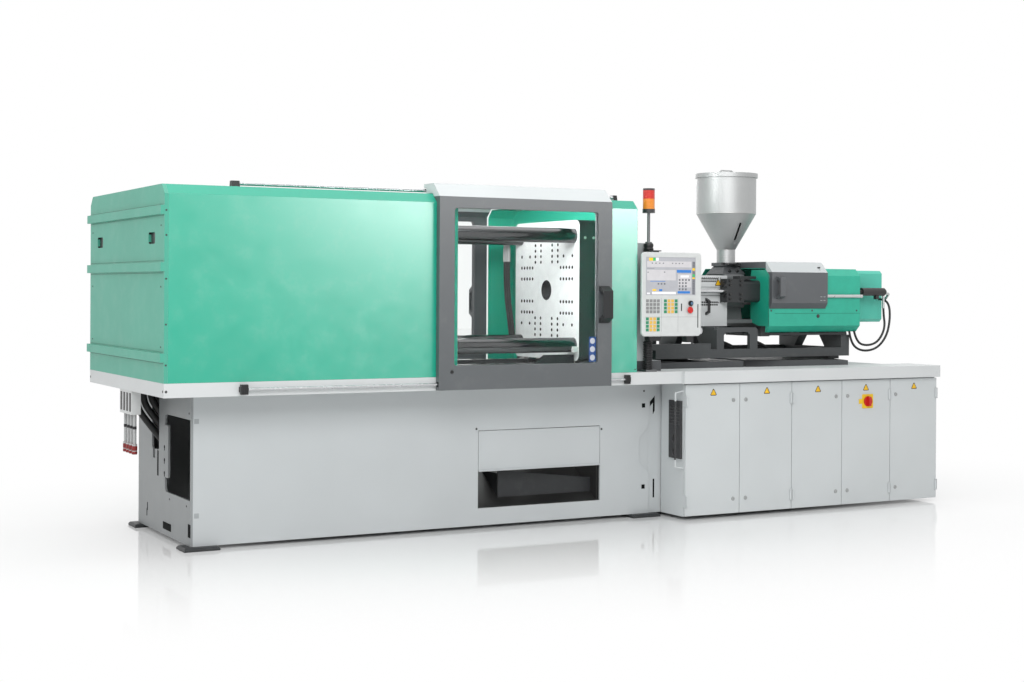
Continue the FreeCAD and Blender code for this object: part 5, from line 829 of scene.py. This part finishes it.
# Hopper. Stainless sheet, brushed up and down, rolled and welded: cylinder, cone, neck, and a lid with a bail.
# It stands on the grey casting of the feed throat, with the shut-off slide between.
throat_grey = painted("throat_grey", (0.085, 0.09, 0.095), rough=0.4, edge_radius=0.003)
dress(throat_grey, "feed_throat")
gate_knob = region({"y<": -96.5})  # the black knob at the end of the slide
dress(two_metal("gate_steel", (0.50, 0.50, 0.49), (0.012, 0.012, 0.013), gate_knob, 0.28, 0.4), "hopper_gate")
hopper_steel = bright_sheet("hopper_steel", (0.50, 0.51, 0.51), 0.5, (30, 30, 1))
dress(hopper_steel, "hopper", "hopper_lid")
work = bmesh.new()
for z, radius in ((1884, 197), (1645, 61), (1600, 61), (1578, 61)):
    add_turned(work, [(radius - 0.5, -2), (radius + 0.6, -1.4), (radius + 1.0, 0), (radius + 0.6, 1.4),
                      (radius - 0.5, 2)], (1375, 0, z), "z", 48)
close_piece(work, "hopper_welds", "injection_carriage",
            bright_sheet("weld_steel", (0.52, 0.52, 0.51), 0.36, (8, 8, 30)))
work = bmesh.new()
for x in (1344, 1406):
    add_turned(work, [(0, 7), (9, 7), (12, 5), (12, 0)], (x, -81, 1504), "-y", 12)
add_block(work, 1286, 1306, -88, -70, 1545, 1560)
close_piece(work, "throat_knobs", "injection_carriage", black_plastic, 0.6)

# Covers of the injection unit. Folded sheet in the machine's green, with a seam along the side, dark screws
# and a latch, and a smaller box behind for the drive, coloured a lighter green as painted light from the right.
not_rail = region({"y>": -377})  # the green sheet, all but the bright rail on its side
dress(two_metal("cover_green", (0.62, 0.63, 0.63), (0.034, 0.46, 0.32), not_rail, 0.3, 0.36, 0.6),
      "injection_cover")
# Painted light: the drive box is coloured lighter than the other greens, for the light from the right
dress(painted("drive_green_lit", (0.10, 0.58, 0.45), rough=0.4, edge_radius=0.002), "rear_drive_cover")

# Front end of the cover: one plate beside the guide column, its corners cut off at a slant
work = bmesh.new()
add_slab(work, [(-366, 1130), (-342, 1106), (-335, 1106), (-335, 1146), (-262, 1146), (-178, 1172), (-178, 1470),
                (-186, 1512), (-340, 1512), (-366, 1480)], "x", 1446, 1449)
close_piece(work, "cover_front_plate", "injection_carriage", green_coat)
flank = 376
screw_xs = (1462, 1798, 2176)
block_piece("cover_seam", "injection_carriage", moulded("seam_green", (0.01, 0.15, 0.10), 0.5),
            [(1492, 2204, low, low + 1.4, 1228, 1230.4) for low in (-flank - 0.4, flank - 1)])
screw_piece("cover_screws", "injection_carriage", ([(x, -flank, 1247) for x in screw_xs], "-y", 6),
            ([(x, flank, 1247) for x in screw_xs], "y", 6))
work = bmesh.new()
add_turned(work, [(0, 3.5), (6, 3.5), (6.5, 2.6), (12, 2.6), (13, 0)], (1848, -flank, 1211), "-y", 20)
close_piece(work, "cover_latch", "injection_carriage", bolt_steel)

# Sliding service hood. Mid grey sheet with its sloping top in light grey; black bar handle, two pairs of small
# vents; it slides on a bright rod along the green cover.
hood_coat = painted("hood_coat", (0.095, 0.102, 0.110), rough=0.36, edge_radius=0.002,
                    second=(light_grey, region({"z>": 1497, "y<": -339})))
dress(hood_coat, "service_hood")
block_piece("hood_vents", "service_hood", moulded("vent_pale", (0.42, 0.43, 0.44), 0.5),
            [(x, x + 16, -406.4, -405.6, z, z + 4) for x in (1842, 1868) for z in (1312, 1336)])
work = bmesh.new()
add_screws(work, [(1848, -372, 1530)], "-y", 6, 20)
add_slab(work, [(-450.2, 1330), (-449.8, 1330), (-449.8, 1464), (-450.2, 1464)], "x", 1478, 1480)
close_piece(work, "hood_screws", "service_hood", dark_screws)

# Small cylinder beside the drive. Dark and smooth; two bent tubes of bright steel lead off to the hoses.
dress(moulded("cylinder_black", (0.030, 0.028, 0.028), 0.4), "rear_cylinder")
fitting = turned_steel("fitting_steel", (0.55, 0.56, 0.56), 0.25, "z")
round_hose("elbow_long", "injection_carriage", [(2455, -330, 1362), (2497, -330, 1362), (2500, -318, 1350),
                                                (2500, -292, 1322), (2500, -278, 1322)], 9, fitting)
round_hose("elbow_short", "injection_carriage", [(2449, -330, 1345), (2449, -330, 1310), (2449, -330, 1262)],
           9, fitting)

# Hydraulic hoses of the injection unit. Rubber hoses that hang in two bows from the drive to the cover's foot.
lane = -345
inner_route = [(2449, -330, 1322), (2449, -330, 1232), (2455, lane, 1130), (2395, lane, 1035), (2300, lane, 1008),
               (2205, lane, 1030), (2181, lane, 1109)]
outer_route = [(2500, -230, 1322), (2500, -290, 1322), (2500, lane + 8, 1275), (2495, lane, 1170),
               (2465, lane, 1070), (2390, lane, 995), (2290, lane, 972), (2200, lane, 990), (2150, lane, 1050),
               (2140, lane, 1109)]
for name, route in (("bow_hose_inner", inner_route), ("bow_hose_outer", outer_route)):
    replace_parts(round_hose(name, "injection_carriage", route, 7.5, rubber), "hydraulic_hoses")

# Electrical cabinet. Welded steel body with five doors under the operator's shelf, painted pale grey; folded
# doors on two hinges each, with quarter-turn locks of bare metal opposite.
cabinet_grey = (0.585, 0.615, 0.622)
cabinet_coat = painted("cabinet_coat", cabinet_grey, rough=0.4)
dress(cabinet_coat, *["cabinet_door_%d" % (i + 1) for i in range(5)])
sockets = region({"x<": 529.7, "y<": -597, "z>": 364, "z<": 714})  # black ones, let into the end of the body
dress(painted("body_coat", cabinet_grey, rough=0.4, second=((0.03, 0.03, 0.032), sockets)),
      "electrical_cabinet")
door_face, first_door, door_pitch = -757, 532, 400
lock_metal = turned_steel("lock_metal", (0.42, 0.43, 0.43), 0.3, "y")
for i in range(5):
    lock_x = first_door + door_pitch * i + (351 if i in (0, 2) else 45)
    work = bmesh.new()
    for z in (711, 111):
        add_turned(work, [(0, 1.2), (4, 1.2), (4.6, 4.4), (11, 4.0), (12.5, 0)], (lock_x, door_face, z), "-y", 24)
        add_block(work, lock_x - 6, lock_x + 6, door_face - 1.4, door_face, z - 1.5, z + 1.5)
    close_piece(work, "door_%d_locks" % (i + 1), "cabinet_door_%d" % (i + 1), lock_metal)

# Plain yellow triangles with a dark edge, high on each door
for i, x in enumerate((734, 1137, 1537, 1927, 2333)):
    warning_field("door_triangle_%d" % (i + 1), "cabinet_door_%d" % (i + 1), x, door_face, 757, 44)

# Main switch: a red rotary knob on a yellow plate
dress(moulded("switch_yellow", (0.82, 0.55, 0.02), 0.35), "main_switch_plate")
red_plastic = moulded("red_plastic", (0.55, 0.015, 0.012), 0.32)
dress(red_plastic, "main_switch_knob")

# Control panel. A light grey plastic housing on a black arm that swings round the post; screen, three fields
# of keys, a slot, the stop button and a key switch. The lines moulded in its face are left a little darker.


def two_plastic(name, first, second, mask):
    """Moulded plastic in two colours, split by a mask."""
    material, tree, shader = new_material(name)
    where = own_place(tree)
    edge = use_group(tree, edges, Radius=0.0016)
    fine = noise(tree, where, 800.0, 2.0)
    cloud = spread(tree, noise(tree, where, 20.0, 4.0), 0.3, 0.7, 0.96, 1.03)
    finish(tree, shader, tint(tree, first, cloud, second, mask(tree)),
           spread(tree, fine, 0.3, 0.7, 0.36, 0.45),
           bump(tree, fine, 0.00004, 0.35, edge["Normal"]))
    return material


panel_arm = region({"z>": 1601}, {"z<": 1103}, {"y>": -770.5})  # all above, below and behind the housing
dress(two_plastic("panel_plastic", (0.655, 0.675, 0.668), (0.014, 0.014, 0.015), panel_arm), "control_panel")


def flat_fields(name, material, spots, face, out):
    """Thin fields on a face that looks to the operator: pairs of x and pairs of z."""
    blocks = [(x0, x1, face - out, face, z0, z1) for x0, x1, z0, z1 in spots]
    block_piece(name, "control_panel", material, blocks)


panel_face, screen_face = -790, -787
flat_fields("panel_lines", moulded("line_grey", (0.40, 0.41, 0.41), 0.5),
            [(330, 332, 1130, 1330), (448, 450, 1130, 1330), (214, 590, 1217, 1219)], panel_face, 0.15)
flat_fields("panel_slot", shadow_gap, [(470, 477, 1253, 1297), (589, 595, 1154, 1294)],
            panel_face, 0.3)

# Screen. Fields of plain colour behind glass, each with its colour and how far it stands out: pale panes, white
# bars, a side column, blue, yellow and green marks, and last the number pad with short dark dashes
screen_fields = {
    "pale": ((0.50, 0.49, 0.505), 0.25, [(230, 545, 1512, 1547), (230, 433, 1434, 1496), (449, 545, 1393, 1471)]),
    "white": ((0.72, 0.72, 0.74), 0.4,
              [(266, 435, 1352, 1367), (467, 527, 1452, 1465), (292, 312, 1549, 1568), (230, 251, 1352, 1362)]),
    "column": ((0.16, 0.165, 0.18), 0.25, [(552, 572, 1351, 1547)]),
    "blue": ((0.03, 0.17, 0.50), 0.45,
             [(441, 544, 1480, 1497), (447, 536, 1357, 1371), (253, 360, 1427, 1430), (316, 338, 1370, 1382)]),
    "yellow": ((0.80, 0.50, 0.03), 0.5,
               [(244, 271, 1549, 1567), (553, 570, 1494, 1508), (553, 570, 1444, 1453), (269, 295, 1371, 1382)]),
    "green": ((0.04, 0.40, 0.12), 0.5, [(271, 290, 1549, 1567), (553, 570, 1458, 1472)]),
    "pads": ((0.13, 0.135, 0.15), 0.5,
             [(455 + 22.5 * i, 467 + 22.5 * i, 1432 - 18.5 * k, 1443 - 18.5 * k)
              for i in range(4) for k in range(4) if i < 3 or k == 0]
             + [(555, 567, z, z + 6) for z in (1536, 1521, 1478, 1428, 1413, 1399, 1384, 1370, 1356)]
             + [(x, x + 11, 1409, 1418) for x in (305, 327, 349)]
             + [(x, x + 9, 1532, 1538) for x in (262, 288, 314, 340)]
             + [(x, x + 8, 1532, 1538) for x in (406, 430, 454, 478)]
             + [(230, 281, 1503, 1505), (349, 358, 1480, 1486), (233, 240, 1478, 1484)]),
}
dress(moulded("screen_ground", (0.36, 0.365, 0.39), 0.22, 0.02, 0.35), "control_screen")
for name, (colour, out, spots) in screen_fields.items():
    lit = moulded("screen_" + name, colour, 0.22, 0.02, 0.35)
    flat_fields("screen_" + name, lit, spots, screen_face, out)

# Keys. Rubber keys in three fields of four by four: one all grey, two with green columns beside yellow ones
key_green = region({"x<": 245, "z<": 1217}, {"x>": 297, "z<": 1217, "x<": 330}, {"x>": 346, "x<": 371},
                   {"x>": 423})
key_yellow = region({"x>": 245, "x<": 297, "z<": 1217}, {"x>": 371, "x<": 423})
keys, tree, shader = new_material("key_rubber")
fine = noise(tree, own_place(tree), 800.0, 2.0)
warm = tint(tree, (0.27, 0.275, 0.275), None, (0.80, 0.50, 0.10), key_yellow(tree))
tone = spread(tree, fine, 0.3, 0.7, 0.95, 1.05)
finish(tree, shader, tint(tree, warm, tone, (0.03, 0.26, 0.13), key_green(tree)),
       spread(tree, fine, 0.3, 0.7, 0.5, 0.6))
dress(keys, "control_keys")

# Stop button and key switch: red mushroom head; dark ring with a blue-grey insert
work = bmesh.new()
add_turned(work, [(0, 798), (14, 798), (14, 801), (19, 801.5), (20, 803.5), (19.6, 806), (17, 808.4), (10, 809.7),
                  (0, 810)], (528, 0, 1259), "-y", 36)
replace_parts(close_piece(work, "stop_head", "emergency_stop", red_plastic), "emergency_stop")
dress(black_plastic, "mode_switch")
work = bmesh.new()
add_turned(work, [(0, 0.8), (8.5, 0.8), (9, 0)], (537, -807, 1299), "-y", 24)
close_piece(work, "mode_insert", "mode_switch", moulded("insert_blue", (0.10, 0.20, 0.32), 0.3))

# Post, lamp, cable column. Dark steel tube in a rubber bellows; a stacked lamp of coloured rings on top; a folded
# duct beside it that carries the cables up from the base.
post_x, post_y = 300, -695
dress(turned_steel("post_steel", (0.20, 0.205, 0.21), 0.4, "z"), "panel_post")
work = bmesh.new()
ribs = []
for i in range(12):
    ribs += [(24.0, 14 * i), (29.0, 14 * i + 4), (29.0, 14 * i + 8), (24.0, 14 * i + 12)]
add_turned(work, [(19.2, -1)] + ribs + [(19.2, 168)], (post_x, post_y, 906), "z", 32)
close_piece(work, "post_bellows", "machine", rubber)
work = bmesh.new()
add_turned(work, [(19.2, 0.2), (29, 0.4), (31, 8), (27, 18), (30, 30), (28, 40), (21, 46), (19.2, 46)],
           (post_x, post_y, 1611), "z", 32)
close_piece(work, "arm_collar", "control_panel", black_plastic)
lamp_body, tree, shader = new_material("lamp_rings")
fine = noise(tree, own_place(tree), 300.0, 2.0)
rings = tint(tree, (0.80, 0.26, 0.02), None, (0.62, 0.02, 0.012), region({"z>": 1917})(tree))
ends = region({"z<": 1857}, {"z>": 1967.5})(tree)
finish(tree, shader, tint(tree, rings, spread(tree, fine, 0.3, 0.7, 0.93, 1.05), (0.035, 0.036, 0.038), ends),
       spread(tree, fine, 0.3, 0.7, 0.24, 0.32))
shader.inputs["Coat Weight"].default_value = 0.4
dress(lamp_body, "signal_lamp")
dress(painted("column_coat", (0.50, 0.52, 0.53), rough=0.4, second=((0.075, 0.08, 0.085), region({"z<": 954.5}))),
      "cable_column")
